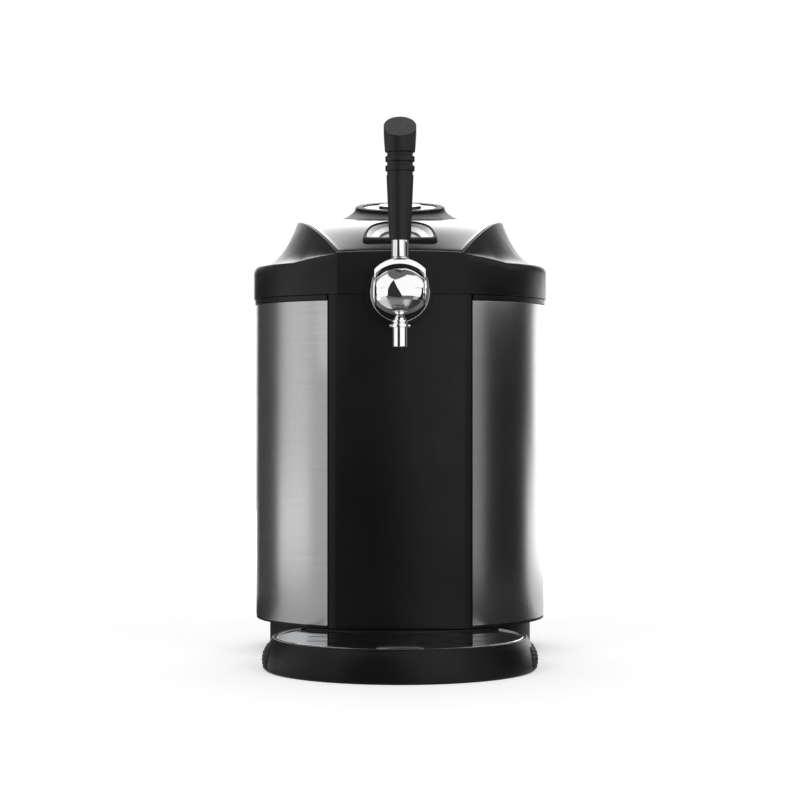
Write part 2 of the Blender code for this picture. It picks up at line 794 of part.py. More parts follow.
def collar_lines(point):
    """Outer line of one radial section, as (inward, height) points, and what it is measured by."""
    reach = math.hypot(*point)
    direction = (point[0] / reach, point[1] / reach)
    outline = body_point(BODY_RADIUS, FACE_DEPTH, math.atan2(point[0], -point[1]))
    edge = math.hypot(*outline)
    run = max(0.0, edge - reach)
    level_y = FRONT_RISE_START_SHARE * FACE_DEPTH
    front_share = min(1.0, max(0.0, (-outline[1] - level_y) / (FACE_DEPTH - level_y)))
    band_top = BAND_TOP + FRONT_RISE * front_share
    rounding = min(SHOULDER_ROUND, SHOULDER_ROUND_SHARE * run)
    shoulder = band_top + SHOULDER_RISE
    rise = lid_surface(*point) - shoulder
    outer = [(0.0, SEAM_HEIGHT), (0.0, band_top)]
    for index in range(1, ROUND_STEPS + 1):
        angle = RIGHT_ANGLE * index / ROUND_STEPS
        outer.append((rounding * (1.0 - math.cos(angle)), band_top + SHOULDER_RISE * math.sin(angle)))
    for index in range(1, SWEEP_STEPS + 1):
        share = index / SWEEP_STEPS
        outer.append((rounding + (run - rounding) * share, shoulder + rise * share ** SWEEP_POWER))
    return outer, direction, edge, run + crest_width(point)


def inside_line(outer, depth, inward_limit, height_limit):
    """The same line moved into the collar, coarser, short of the skirt and the ledge."""
    points = []
    for index in range(len(outer) - 1, 0, -HIDDEN_STRIDE):
        before = outer[max(index - 1, 0)]
        after = outer[min(index + 1, len(outer) - 1)]
        tangent = Vector((after[0] - before[0], after[1] - before[1])).normalized()
        points.append((min(outer[index][0] + depth * tangent.y, inward_limit),
                       min(outer[index][1] - depth * tangent.x, height_limit)))
    return points


def in_space(section, edge, direction):
    """Place a radial section's (inward, height) points."""
    return [((edge - inward) * direction[0], (edge - inward) * direction[1], height)
            for inward, height in section]


def collar_section(point):
    """One radial section of the collar as a closed shell profile, in space."""
    outer, direction, edge, deck_edge = collar_lines(point)
    ledge = ledge_height(point)
    skirt = deck_edge + ledge_width(point)
    top = [(deck_edge, lid_surface(*towards_axis(point, crest_width(point)))),
           (deck_edge, ledge), (skirt, ledge), (skirt, SKIRT_BOTTOM)]
    hidden_skirt = skirt - COLLAR_WALL
    hidden_top = ledge - COLLAR_WALL
    hidden = [(hidden_skirt, SKIRT_BOTTOM), (hidden_skirt, hidden_top)]
    hidden += inside_line(outer, COLLAR_WALL, hidden_skirt - FIT_GAP, hidden_top)
    return in_space(outer + top + hidden + [(COLLAR_WALL, SEAM_HEIGHT)], edge, direction)


def collar_foam_section(point):
    """One radial section of the foam that fills the collar."""
    outer, direction, edge, deck_edge = collar_lines(point)
    depth = COLLAR_WALL + 2.0 * FIT_GAP
    inward = deck_edge + ledge_width(point) - depth
    high = ledge_height(point) - depth
    low = SEAM_HEIGHT + FIT_GAP
    section = [(inward, low), (inward, high)] + inside_line(outer, depth, inward - FIT_GAP, high)
    return in_space(section + [(depth, low)], edge, direction)


def make_collar(parent):
    """The top collar, one loft of radial sections round the crest line, and its foam."""
    ridge = ridge_plan()
    collar = add_part("top_collar", loft([collar_section(point) for point in ridge], loop=True),
                      SATIN_BLACK, parent)
    foam = add_part("collar_foam", loft([collar_foam_section(point) for point in ridge], loop=True),
                    FOAM, parent)
    return collar, foam


def make_base(parent):
    """Base pan with its neck, flange, vents, board posts and rubber feet."""
    wall_inside = NECK_RADIUS - BASE_WALL
    floor_top = FOOT_HEIGHT + BASE_FLOOR
    profile = [(0.0, FOOT_HEIGHT), (NECK_RADIUS - BASE_EDGE, FOOT_HEIGHT),
               (NECK_RADIUS, FOOT_HEIGHT + BASE_EDGE), (NECK_RADIUS, FLANGE_BOTTOM),
               (PANEL_RADIUS, FLANGE_BOTTOM), (PANEL_RADIUS, FLANGE_TOP),
               (wall_inside, FLANGE_TOP), (wall_inside, floor_top), (0.0, floor_top)]
    base = add_part("base_chassis", turned(profile, BODY_STEPS), MATT_BLACK, parent)
    reach = BODY_RADIUS + CUT_OVERRUN
    outer = body_outline(reach, reach, -PANEL_FRONT_ANGLE, PANEL_FRONT_ANGLE, SIDE_STEPS)
    inner = body_outline(HOUSING_RADIUS, HOUSING_FACE, -PANEL_FRONT_ANGLE, PANEL_FRONT_ANGLE, SIDE_STEPS)
    rebate = wall_between(outer, inner, FLANGE_BOTTOM - CUT_OVERRUN, FLANGE_TOP + CUT_OVERRUN, False)
    combine(base, add_tool("column_rebate", rebate, parent))
    foot_circle = FOOT_CIRCLE_SHARE * NECK_RADIUS
    recesses = []
    for index, corner in enumerate(("front_right", "rear_right", "rear_left", "front_left")):
        angle = RIGHT_ANGLE * (index + 0.5)
        place = (foot_circle * math.sin(angle), -foot_circle * math.cos(angle), 0.0)
        foot_top = FOOT_HEIGHT + FOOT_RECESS - FIT_GAP
        foot = [(0.0, 0.0), (FOOT_RADIUS - BASE_EDGE, 0.0), (FOOT_RADIUS, BASE_EDGE),
                (FOOT_RADIUS, foot_top), (0.0, foot_top)]
        hole = [(0.0, FOOT_HEIGHT - CUT_OVERRUN), (FOOT_RADIUS + FIT_GAP, FOOT_HEIGHT - CUT_OVERRUN),
                (FOOT_RADIUS + FIT_GAP, FOOT_HEIGHT + FOOT_RECESS), (0.0, FOOT_HEIGHT + FOOT_RECESS)]
        add_part("foot_" + corner, moved(turned(foot, FOOT_STEPS), place), RUBBER, parent)
        recesses.append(moved(turned(hole, FOOT_STEPS), place))
    combine(base, add_tool("foot_recesses", gathered(recesses), parent))
    vents = []
    for index in range(VENT_SLOTS):
        x = VENT_PITCH * (index - 0.5 * (VENT_SLOTS - 1))
        slot = prism(stadium(VENT_LENGTH, VENT_WIDTH, (0.0, 0.0)), -CUT_OVERRUN, BASE_FLOOR + CUT_OVERRUN)
        vents.append(moved(turned_about(slot, "Z", RIGHT_ANGLE), (x, -0.5 * NECK_RADIUS, FOOT_HEIGHT)))
    combine(base, add_tool("floor_vents", gathered(vents), parent))
    make_control_board(base, floor_top, parent)
    return base


def make_control_board(base, floor_top, parent):
    """Circuit board on four posts of the base, with its coil, capacitors and terminal."""
    post_x = 0.5 * BOARD_WIDTH - BOARD_INSET
    post_y = 0.5 * BOARD_DEPTH - BOARD_INSET
    posts = []
    for side_x in (-1.0, 1.0):
        for side_y in (-1.0, 1.0):
            profile = [(0.0, floor_top - UNION_SINK), (POST_RADIUS, floor_top - UNION_SINK),
                       (POST_RADIUS, floor_top + POST_HEIGHT), (0.0, floor_top + POST_HEIGHT)]
            place = (side_x * post_x, BOARD_Y + side_y * post_y, 0.0)
            posts.append(moved(turned(profile, SMALL_STEPS), place))
    combine(base, add_tool("board_posts", gathered(posts), parent), "UNION")
    low = floor_top + POST_HEIGHT + FIT_GAP
    board = block(BOARD_WIDTH, BOARD_DEPTH, BOARD_THICKNESS, (0.0, BOARD_Y, low + 0.5 * BOARD_THICKNESS))
    board = add_part("control_board", board, BOARD_GREEN, parent)
    seat = low + BOARD_THICKNESS - UNION_SINK
    coil_x = -COIL_PLACE_SHARE * BOARD_WIDTH
    coil = block(COIL_WIDTH, COIL_DEPTH, COIL_HEIGHT, (coil_x, BOARD_Y, seat + 0.5 * COIL_HEIGHT))
    shapes = [coil]
    for index in range(CAPACITORS):
        profile = [(0.0, seat), (CAPACITOR_RADIUS, seat), (CAPACITOR_RADIUS, seat + CAPACITOR_HEIGHT),
                   (0.0, seat + CAPACITOR_HEIGHT)]
        x = CAPACITOR_RADIUS * (1.0 + CAPACITOR_PITCH_SHARE * index)
        shapes.append(moved(turned(profile, SMALL_STEPS), (x, BOARD_Y - CAPACITOR_RADIUS, 0.0)))
    terminal_y = BOARD_Y + 0.5 * BOARD_DEPTH - TERMINAL_DEPTH
    shapes.append(block(TERMINAL_WIDTH, TERMINAL_DEPTH, TERMINAL_HEIGHT,
                        (TERMINAL_WIDTH, terminal_y, seat + 0.5 * TERMINAL_HEIGHT)))
    combine(board, add_tool("board_components", gathered(shapes), parent), "UNION")


def make_housing(parent):
    """Inner housing, front column, steel panels, trim and rear cover."""
    outer = drum_outline(HOUSING_RADIUS, HOUSING_FACE)
    inner = drum_outline(HOUSING_BORE, HOUSING_BORE_FACE)
    housing = add_part("inner_housing", wall_between(outer, inner, PANEL_BOTTOM, TRIM_TOP, True),
                       MATT_BLACK, parent)
    window_low = PANEL_BOTTOM + WINDOW_MARGIN
    window_high = TRIM_BOTTOM - WINDOW_MARGIN
    window = block(2.0 * WINDOW_HALF, HOUSING_RADIUS, window_high - window_low,
                   (0.0, HOUSING_RADIUS, 0.5 * (window_low + window_high)))
    combine(housing, add_tool("rear_window", window, parent))
    column_outer = body_outline(BODY_RADIUS, FACE_DEPTH, FACE_ANGLE, COLUMN_EDGE_ANGLE, 2)
    inner_radius = HOUSING_RADIUS + FIT_GAP
    inner_face = HOUSING_FACE + FIT_GAP
    inner_angle = math.acos(inner_face / inner_radius)
    column_inner = body_outline(inner_radius, inner_face, inner_angle, COLUMN_EDGE_ANGLE, 2)
    mirrored_outer = [(-x, y) for x, y in reversed(column_outer)]
    mirrored_inner = [(-x, y) for x, y in reversed(column_inner)]
    wall = wall_between(mirrored_outer + column_outer, mirrored_inner + column_inner, COLUMN_BOTTOM, TRIM_TOP,
                        False)
    column = add_part("front_column", wall, SATIN_BLACK, parent)
    panel = [(PANEL_RADIUS - PANEL_WALL, PANEL_BOTTOM), (PANEL_RADIUS, PANEL_BOTTOM),
             (PANEL_RADIUS, PANEL_TOP), (PANEL_RADIUS - PANEL_WALL, PANEL_TOP)]
    sweep = PANEL_REAR_ANGLE - PANEL_FRONT_ANGLE
    for name, start in (("side_panel_right", PANEL_FRONT_ANGLE), ("side_panel_left", -PANEL_REAR_ANGLE)):
        add_part(name, turned(panel, PANEL_STEPS, start, sweep), BRUSHED_STEEL, parent)
    trim_radius = BODY_RADIUS - TRIM_INSET
    trim_inside = HOUSING_RADIUS + FIT_GAP
    trim = [(trim_inside, TRIM_BOTTOM), (trim_radius, TRIM_BOTTOM),
            (trim_radius, TRIM_TOP), (trim_inside, TRIM_TOP)]
    add_part("trim_band", turned(trim, BODY_STEPS, PANEL_FRONT_ANGLE, FULL_TURN - 2.0 * PANEL_FRONT_ANGLE),
             SATIN_BLACK, parent)
    return housing, column


def make_rear_cover(parent):
    """Rear cover with sloping louvres, seats for the inlet and the switch, and its screws."""
    inside = PANEL_RADIUS - COVER_WALL
    profile = [(inside, PANEL_BOTTOM), (PANEL_RADIUS, PANEL_BOTTOM),
               (PANEL_RADIUS, PANEL_TOP), (inside, PANEL_TOP)]
    sweep = FULL_TURN - 2.0 * COVER_EDGE_ANGLE
    shell = turned(profile, COVER_STEPS, COVER_EDGE_ANGLE, sweep)
    cover = add_part("rear_cover", shell, MATT_BLACK, parent)
    louvres = []
    for row in range(LOUVRE_ROWS):
        height = COOLER_HEIGHT + LOUVRE_PITCH * (row - 0.5 * (LOUVRE_ROWS - 1))
        slot = block(2.0 * LOUVRE_HALF, 4.0 * COVER_WALL + SEAT_INSET + 2.0 * CUT_OVERRUN, LOUVRE_HEIGHT)
        slot = turned_about(slot, "X", LOUVRE_TILT)
        louvres.append(moved(slot, (0.0, PANEL_RADIUS - COVER_WALL, height)))
    combine(cover, add_tool("louvre_slots", gathered(louvres), parent))
    pad_low = INLET_HEIGHT - 0.5 * INLET_FLANGE_HEIGHT - PAD_MARGIN
    pad_high = SWITCH_HEIGHT + 0.5 * SWITCH_FLANGE_HEIGHT + PAD_MARGIN
    pad = block(INLET_FLANGE_WIDTH + 2.0 * PAD_MARGIN, PAD_THICKNESS, pad_high - pad_low,
                (0.0, PANEL_RADIUS - PAD_INSET - 0.5 * PAD_THICKNESS, 0.5 * (pad_low + pad_high)))
    combine(cover, add_tool("seat_pad", pad, parent), "UNION")
    seat_depth = SEAT_INSET + CUT_OVERRUN
    seats = []
    for width, height, middle in ((INLET_FLANGE_WIDTH, INLET_FLANGE_HEIGHT, INLET_HEIGHT),
                                  (SWITCH_FLANGE_WIDTH, SWITCH_FLANGE_HEIGHT, SWITCH_HEIGHT)):
        seats.append(block(width + 2.0 * RUNNING_GAP, seat_depth, height + 2.0 * RUNNING_GAP,
                           (0.0, PANEL_RADIUS - SEAT_INSET + 0.5 * seat_depth, middle)))
    combine(cover, add_tool("flange_seats", gathered(seats), parent))
    holes = []
    for width, height, middle in ((INLET_BODY_WIDTH, INLET_BODY_HEIGHT, INLET_HEIGHT),
                                  (SWITCH_BODY_WIDTH, SWITCH_BODY_HEIGHT, SWITCH_HEIGHT)):
        depth = 4.0 * COVER_WALL + 2.0 * CUT_OVERRUN
        holes.append(block(width + 2.0 * FIT_GAP, depth, height + 2.0 * FIT_GAP, (0.0, PANEL_RADIUS, middle)))
    combine(cover, add_tool("body_holes", gathered(holes), parent))
    for side, name in ((-1.0, "cover_screw_right"), (1.0, "cover_screw_left")):
        foot = PANEL_RADIUS + FIT_GAP
        face = foot + COVER_SCREW_HEAD
        head = [(0.0, foot), (COVER_SCREW_RADIUS, foot),
                (COVER_SCREW_TOP_SHARE * COVER_SCREW_RADIUS, face), (0.0, face)]
        screw = turned_about(facing_rear(turned(head, SMALL_STEPS)), "Z", side * COVER_SCREW_ANGLE)
        add_part(name, moved(screw, (0.0, 0.0, PANEL_BOTTOM + COVER_SCREW_INSET)), ZINC, parent)


def panel_box(sizes, flange_front):
    """A panel-mounted box open to the rear: flange, body behind it and a well inside."""
    (flange_width, flange_height, flange), (body_width, body_height, body_depth), well_sizes = sizes
    well_width, well_height, well_depth = well_sizes
    flange_back = flange_front - flange
    rings = ((body_width, body_height, flange_back - body_depth), (body_width, body_height, flange_back),
             (flange_width, flange_height, flange_back), (flange_width, flange_height, flange_front),
             (well_width, well_height, flange_front), (well_width, well_height, flange_front - well_depth))
    sections = []
    for width, height, y in rings:
        half_width = 0.5 * width
        half_height = 0.5 * height
        sections.append([(-half_width, y, -half_height), (half_width, y, -half_height),
                         (half_width, y, half_height), (-half_width, y, half_height)])
    return loft(sections)


def make_power_entry(parent):
    """Power inlet with its three pins, and the rocker switch above it."""
    seat = PANEL_RADIUS - SEAT_INSET + FIT_GAP
    inlet = panel_box(((INLET_FLANGE_WIDTH, INLET_FLANGE_HEIGHT, INLET_FLANGE),
                       (INLET_BODY_WIDTH, INLET_BODY_HEIGHT, INLET_BODY_DEPTH),
                       (INLET_SOCKET_WIDTH, INLET_SOCKET_HEIGHT, INLET_SOCKET_DEPTH)), seat + INLET_FLANGE)
    inlet = add_part("power_inlet", moved(inlet, (0.0, 0.0, INLET_HEIGHT)), MATT_BLACK, parent)
    pin_y = seat + INLET_FLANGE - INLET_SOCKET_DEPTH - UNION_SINK + 0.5 * INLET_PIN_LENGTH
    pins = []
    for column, rise in ((-1.0, 0.0), (0.0, INLET_EARTH_RISE), (1.0, 0.0)):
        place = (column * INLET_PIN_PITCH, pin_y, INLET_HEIGHT + rise)
        pins.append(block(INLET_PIN_WIDTH, INLET_PIN_LENGTH, INLET_PIN_HEIGHT, place))
    combine(inlet, add_tool("inlet_pins", gathered(pins), parent), "UNION")
    switch = panel_box(((SWITCH_FLANGE_WIDTH, SWITCH_FLANGE_HEIGHT, SWITCH_FLANGE),
                        (SWITCH_BODY_WIDTH, SWITCH_BODY_HEIGHT, SWITCH_BODY_DEPTH),
                        (SWITCH_WELL_WIDTH, SWITCH_WELL_HEIGHT, SWITCH_WELL_DEPTH)), seat + SWITCH_FLANGE)
    add_part("switch_frame", moved(switch, (0.0, 0.0, SWITCH_HEIGHT)), MATT_BLACK, parent)
    well_floor = seat + SWITCH_FLANGE - SWITCH_WELL_DEPTH
    rocker_axis = add_empty("rocker_axis", parent, (0.0, well_floor + ROCKER_RADIUS + FIT_GAP, SWITCH_HEIGHT))
    face = SWITCH_WELL_DEPTH - ROCKER_RADIUS - FIT_GAP + ROCKER_PROUD
    half_height = 0.5 * SWITCH_WELL_HEIGHT - RUNNING_GAP
    outline = []
    for index in range(SMALL_STEPS // 2 + 1):
        angle = HALF_TURN * index / (SMALL_STEPS // 2)
        outline.append((-ROCKER_RADIUS * math.cos(angle), -ROCKER_RADIUS * math.sin(angle)))
    side = ROCKER_SIDE_SHARE * half_height
    brow = ROCKER_BROW_SHARE * half_height
    outline += [(side, 0.5 * face), (brow, face), (0.0, face - 0.5 * ROCKER_PROUD), (-brow, face),
                (-side, 0.5 * face)]
    width = SWITCH_WELL_WIDTH - 2.0 * RUNNING_GAP
    rocker = turned_about(prism(outline, -0.5 * width, 0.5 * width), "Y", RIGHT_ANGLE)
    rocker = turned_about(rocker, "X", ROCKER_TILT)
    add_part("power_rocker", rocker, SATIN_BLACK, rocker_axis)


def make_chamber(parent):
    """Chamber floor, foam jacket, liner and the rim that closes the foam."""
    floor_radius = HOUSING_BORE_FACE - FIT_GAP
    floor = [(0.0, FLOOR_BOTTOM), (floor_radius, FLOOR_BOTTOM), (floor_radius, FLOOR_TOP), (0.0, FLOOR_TOP)]
    add_part("chamber_floor", turned(floor, HOUSING_STEPS), GREY_PLASTIC, parent)
    chamber = add_empty("chamber_axis", parent, (0.0, CHAMBER_Y, 0.0))
    foam = [(0.0, FOAM_BOTTOM), (FOAM_RADIUS, FOAM_BOTTOM), (FOAM_RADIUS, FOAM_TOP), (FOAM_BORE, FOAM_TOP),
            (FOAM_BORE, FOAM_FLOOR_TOP), (0.0, FOAM_FLOOR_TOP)]
    jacket = add_part("foam_jacket", turned(foam, CHAMBER_STEPS), FOAM, chamber)
    window = block(2.0 * (BLOCK_HALF + RUNNING_GAP), FOAM_RADIUS, BLOCK_HEIGHT + 2.0 * RUNNING_GAP,
                   (0.0, FOAM_RADIUS, COOLER_HEIGHT))
    combine(jacket, add_tool("block_window", window, chamber))
    flange_low = LINER_TOP - LINER_WALL
    liner = [(0.0, LINER_BOTTOM), (LINER_RADIUS, LINER_BOTTOM), (LINER_RADIUS, flange_low),
             (LINER_RADIUS + LINER_FLANGE, flange_low), (LINER_RADIUS + LINER_FLANGE, LINER_TOP),
             (CHAMBER_RADIUS, LINER_TOP), (CHAMBER_RADIUS, LINER_BOTTOM + LINER_WALL),
             (0.0, LINER_BOTTOM + LINER_WALL)]
    add_part("keg_liner", turned(liner, CHAMBER_STEPS), ALUMINIUM, chamber)
    outer = drum_outline(HOUSING_BORE - FIT_GAP, HOUSING_BORE_FACE - FIT_GAP)
    inner = []
    for x, y in outer:
        angle = math.atan2(x, -y)
        inner.append((CHAMBER_RADIUS * math.sin(angle), CHAMBER_Y - CHAMBER_RADIUS * math.cos(angle)))
    add_part("chamber_rim", wall_between(outer, inner, CHAMBER_RIM_BOTTOM, CHAMBER_RIM_TOP, True),
             GREY_PLASTIC, parent)


def make_cooler(parent):
    """Cold block, Peltier module, heat sink and fan behind the chamber."""
    block_front = CHAMBER_Y + LINER_RADIUS + FIT_GAP
    block_back = block_front + BLOCK_THICKNESS
    radius = LINER_RADIUS + FIT_GAP
    outline = [(BLOCK_HALF, block_back), (-BLOCK_HALF, block_back)]
    for index in range(SIDE_STEPS + 1):
        x = BLOCK_HALF * (2.0 * index / SIDE_STEPS - 1.0)
        outline.append((x, CHAMBER_Y + math.sqrt(radius ** 2 - x ** 2) + FIT_GAP))
    cold_block = prism(outline, COOLER_HEIGHT - 0.5 * BLOCK_HEIGHT, COOLER_HEIGHT + 0.5 * BLOCK_HEIGHT)
    add_part("cold_block", cold_block, ALUMINIUM, parent)
    peltier_y = block_back + FIT_GAP + 0.5 * PELTIER_THICKNESS
    add_part("peltier_module", block(PELTIER_SIZE, PELTIER_THICKNESS, PELTIER_SIZE,
                                     (0.0, peltier_y, COOLER_HEIGHT)), CERAMIC, parent)
    sink_front = block_back + 2.0 * FIT_GAP + PELTIER_THICKNESS
    half = 0.5 * SINK_SIZE
    comb = [(half, sink_front), (-half, sink_front)]
    pitch = (SINK_SIZE - FIN_WIDTH) / (FINS - 1)
    for index in range(FINS):
        left = -half + pitch * index
        right = left + FIN_WIDTH
        comb += [(left, sink_front + SINK_DEPTH), (right, sink_front + SINK_DEPTH)]
        if index < FINS - 1:
            comb += [(right, sink_front + SINK_BASE), (left + pitch, sink_front + SINK_BASE)]
    add_part("heat_sink", prism(comb, COOLER_HEIGHT - half, COOLER_HEIGHT + half), ALUMINIUM, parent)
    make_fan(sink_front + SINK_DEPTH + FIT_GAP, parent)


def make_fan(front, parent):
    """Square fan frame with a bearing spider, and its rotor with pitched blades."""
    fan_axis = add_empty("fan_axis", parent, (0.0, front, COOLER_HEIGHT))
    square = polygon_outline(0.5 * FAN_SIZE, 4, FAN_STEPS)
    bore = circle(FAN_BORE, FAN_STEPS)
    frame = facing_rear(wall_between(square, bore, 0.0, FAN_DEPTH, True))
    frame = add_part("fan_frame", frame, MATT_BLACK, fan_axis)
    bearing = turned([(FAN_AXLE_RADIUS + FIT_GAP, 0.0), (FAN_BEARING_RADIUS, 0.0),
                      (FAN_BEARING_RADIUS, FAN_SPIDER_DEPTH), (FAN_AXLE_RADIUS + FIT_GAP, FAN_SPIDER_DEPTH)],
                     SMALL_STEPS)
    arm_reach = FAN_BORE + UNION_SINK - FAN_BEARING_RADIUS
    combine(frame, add_tool("fan_bearing", facing_rear(bearing), fan_axis), "UNION")
    for index in range(3):
        angle = FULL_TURN * index / 3.0
        arm = block(FAN_SPIDER_WIDTH, FAN_SPIDER_DEPTH, arm_reach + 2.0 * UNION_SINK,
                    (0.0, 0.5 * FAN_SPIDER_DEPTH, FAN_BEARING_RADIUS + 0.5 * arm_reach))
        arm = turned_about(arm, "Y", angle)
        combine(frame, add_tool("fan_arm_%d" % index, arm, fan_axis), "UNION")
    hub_low = FAN_SPIDER_DEPTH + RUNNING_GAP
    hub_high = FAN_DEPTH - FAN_HUB_WALL
    hub = [(0.0, FIT_GAP), (FAN_AXLE_RADIUS, FIT_GAP), (FAN_AXLE_RADIUS, hub_high - FAN_HUB_WALL),
           (FAN_HUB_RADIUS - FAN_HUB_WALL, hub_high - FAN_HUB_WALL), (FAN_HUB_RADIUS - FAN_HUB_WALL, hub_low),
           (FAN_HUB_RADIUS, hub_low), (FAN_HUB_RADIUS, hub_high), (0.0, hub_high)]
    rotor = add_part("fan_rotor", facing_rear(turned(hub, BORE_STEPS)), MATT_BLACK, fan_axis)
    middle = 0.5 * (hub_low + hub_high)
    chord = (hub_high - hub_low - 2.0 * FAN_BLADE_WALL) / math.sin(FAN_BLADE_PITCH)
    tip = FAN_BORE - FAN_BLADE_CLEARANCE
    reach = tip - FAN_HUB_RADIUS + 0.5 * FAN_HUB_WALL
    blades = []
    for index in range(FAN_BLADES):
        blade = block(min(chord, FAN_HUB_RADIUS), FAN_BLADE_WALL, reach)
        blade = turned_about(blade, "Z", FAN_BLADE_PITCH)
        blade = moved(blade, (0.0, middle, tip - 0.5 * reach - FAN_BLADE_CLEARANCE))
        blades.append(turned_about(blade, "Y", FULL_TURN * index / FAN_BLADES))
    combine(rotor, add_tool("fan_blades", gathered(blades), fan_axis), "UNION")


def lid_rings(outline):
    """Rings of plan points from the lid's edge to its middle."""
    rings = []
    for share in LID_RING_SHARES:
        rings.append([(x * (1.0 - share), y + (LID_MIDDLE_Y - y) * share) for x, y in outline])
    return rings


def make_lid(parent):
    """Lid shell with its pan, foam and seal, all turning on the hinge axis."""
    hinge_height = lid_surface(0.0, HINGE_Y) + BARREL_RADIUS + BARREL_CLEARANCE
    hinge_axis = add_empty("lid_hinge_axis", parent, (0.0, HINGE_Y, hinge_height))
    lid = add_empty("lid_frame", hinge_axis, (0.0, -HINGE_Y, -hinge_height))
    ridge = ridge_plan()
    rings = lid_rings([lid_edge(point) for point in ridge])
    top = [[(x, y, lid_surface(x, y)) for x, y in ring] for ring in rings]
    under = [[(x, y, lid_surface(x, y) - LID_WALL) for x, y in ring] for ring in rings]
    under[0] = [(x, y, z - LID_EDGE) for x, y, z in top[0]]
    shell = add_part("lid_shell", loft(list(reversed(under)) + top, loop=True), SATIN_BLACK, lid)
    pan_edge = [towards_axis(skirt_face(point), PAN_GAP) for point in ridge]
    pan_inside = [towards_axis(skirt_face(point), PAN_GAP + PAN_WALL) for point in ridge]
    pan = [[(x, y, PAN_BOTTOM) for x, y in pan_edge],
           [(x, y, lid_surface(x, y) - LID_EDGE - RUNNING_GAP) for x, y in pan_edge],
           [(x, y, lid_surface(x, y) - LID_EDGE - RUNNING_GAP) for x, y in pan_inside],
           [(x, y, PAN_BOTTOM + PAN_WALL) for x, y in pan_inside]]
    add_part("lid_inner_pan", loft(pan), GREY_PLASTIC, lid)
    foam_edge = [towards_axis(point, FIT_GAP) for point in pan_inside]
    foam_low = PAN_BOTTOM + PAN_WALL + FIT_GAP
    add_part("lid_foam", prism(foam_edge, foam_low, foam_low + LID_FOAM_THICKNESS), FOAM, lid)
    seal_inside = [towards_axis(skirt_face(point), PAN_GAP - FIT_GAP) for point in ridge]
    seal_outside = [towards_axis(skirt_face(point), PAN_GAP - FIT_GAP - SEAL_WIDTH) for point in ridge]
    seal_low = PAN_BOTTOM + SEAL_RISE
    add_part("lid_seal", wall_between(seal_outside, seal_inside, seal_low, seal_low + SEAL_HEIGHT, True),
             RUBBER, lid)
    make_scoop(shell, lid)
    make_crown(lid)
    make_hinge(parent, lid, hinge_height)


def scoop_outline(half, front, rear):
    """The scoop's D in plan: a straight front edge and a full round rear."""
    points = []
    for index in range(SCOOP_STEPS + 1):
        angle = HALF_TURN * index / SCOOP_STEPS
        power = 2.0 / SCOOP_CORNER_POWER
        x = half * math.copysign(abs(math.cos(angle)) ** power, math.cos(angle))
        y = front + (rear - front) * max(math.sin(angle), 0.0) ** power
        points.append((x, y))
    return points


def make_scoop(shell, lid):
    """D-shaped finger scoop: a black rim let into the lid and a stepped silver dish."""
    hole = scoop_outline(SCOOP_HALF + FIT_GAP, SCOOP_FRONT_Y - FIT_GAP, SCOOP_REAR_Y + FIT_GAP)
    low = lid_surface(SCOOP_HALF, SCOOP_FRONT_Y) - LID_WALL - SCOOP_RIM_DEPTH
    combine(shell, add_tool("scoop_hole", prism(hole, low, LID_SUMMIT + CUT_OVERRUN), lid))
    outer = scoop_outline(SCOOP_HALF, SCOOP_FRONT_Y, SCOOP_REAR_Y)
    inner = scoop_outline(SCOOP_HALF - SCOOP_RIM, SCOOP_FRONT_Y + SCOOP_FRONT_RIM, SCOOP_REAR_Y - SCOOP_RIM)
    sections = []
    for (outer_x, outer_y), (inner_x, inner_y) in zip(outer, inner):
        outer_top = lid_surface(outer_x, outer_y)
        inner_top = lid_surface(inner_x, inner_y)
        crown_x = 0.5 * (outer_x + inner_x)
        crown_y = 0.5 * (outer_y + inner_y)
        sections.append([(outer_x, outer_y, outer_top - SCOOP_RIM_DEPTH), (outer_x, outer_y, outer_top),
                         (crown_x, crown_y, lid_surface(crown_x, crown_y) + SCOOP_PROUD),
                         (inner_x, inner_y, inner_top), (inner_x, inner_y, inner_top - SCOOP_RIM_DEPTH)])
    add_part("scoop_rim", loft(sections, loop=True), SATIN_BLACK, lid)
    dish_front = SCOOP_FRONT_Y + SCOOP_FRONT_RIM + FIT_GAP
    dish_rear = SCOOP_REAR_Y - SCOOP_RIM - FIT_GAP
    dish_half = SCOOP_HALF - SCOOP_RIM - FIT_GAP
    upper = []
    lower = []
    for size, depth in zip(DISH_SIZE_SHARES, DISH_DEPTH_SHARES):
        shrink = (1.0 - size) * (dish_rear - dish_front)
        ring = scoop_outline(dish_half * size, dish_front + DISH_SHIFT_SHARE * shrink,
                             dish_rear - (1.0 - DISH_SHIFT_SHARE) * shrink)
        sink = SCOOP_PROUD + DISH_DEPTH * depth
        upper.append([(x, y, lid_surface(x, y) - sink) for x, y in ring])
        lower.append([(x, y, lid_surface(x, y) - sink - DISH_WALL) for x, y in ring])
    add_part("scoop_dish", loft(list(reversed(lower)) + upper), SATIN_SILVER, lid)


def crown_plane(x, y, offset):
    """Height of the crown's tilted face, moved by an offset."""
    return CROWN_HEIGHT + offset + (y - CROWN_Y) * math.tan(CROWN_TILT)


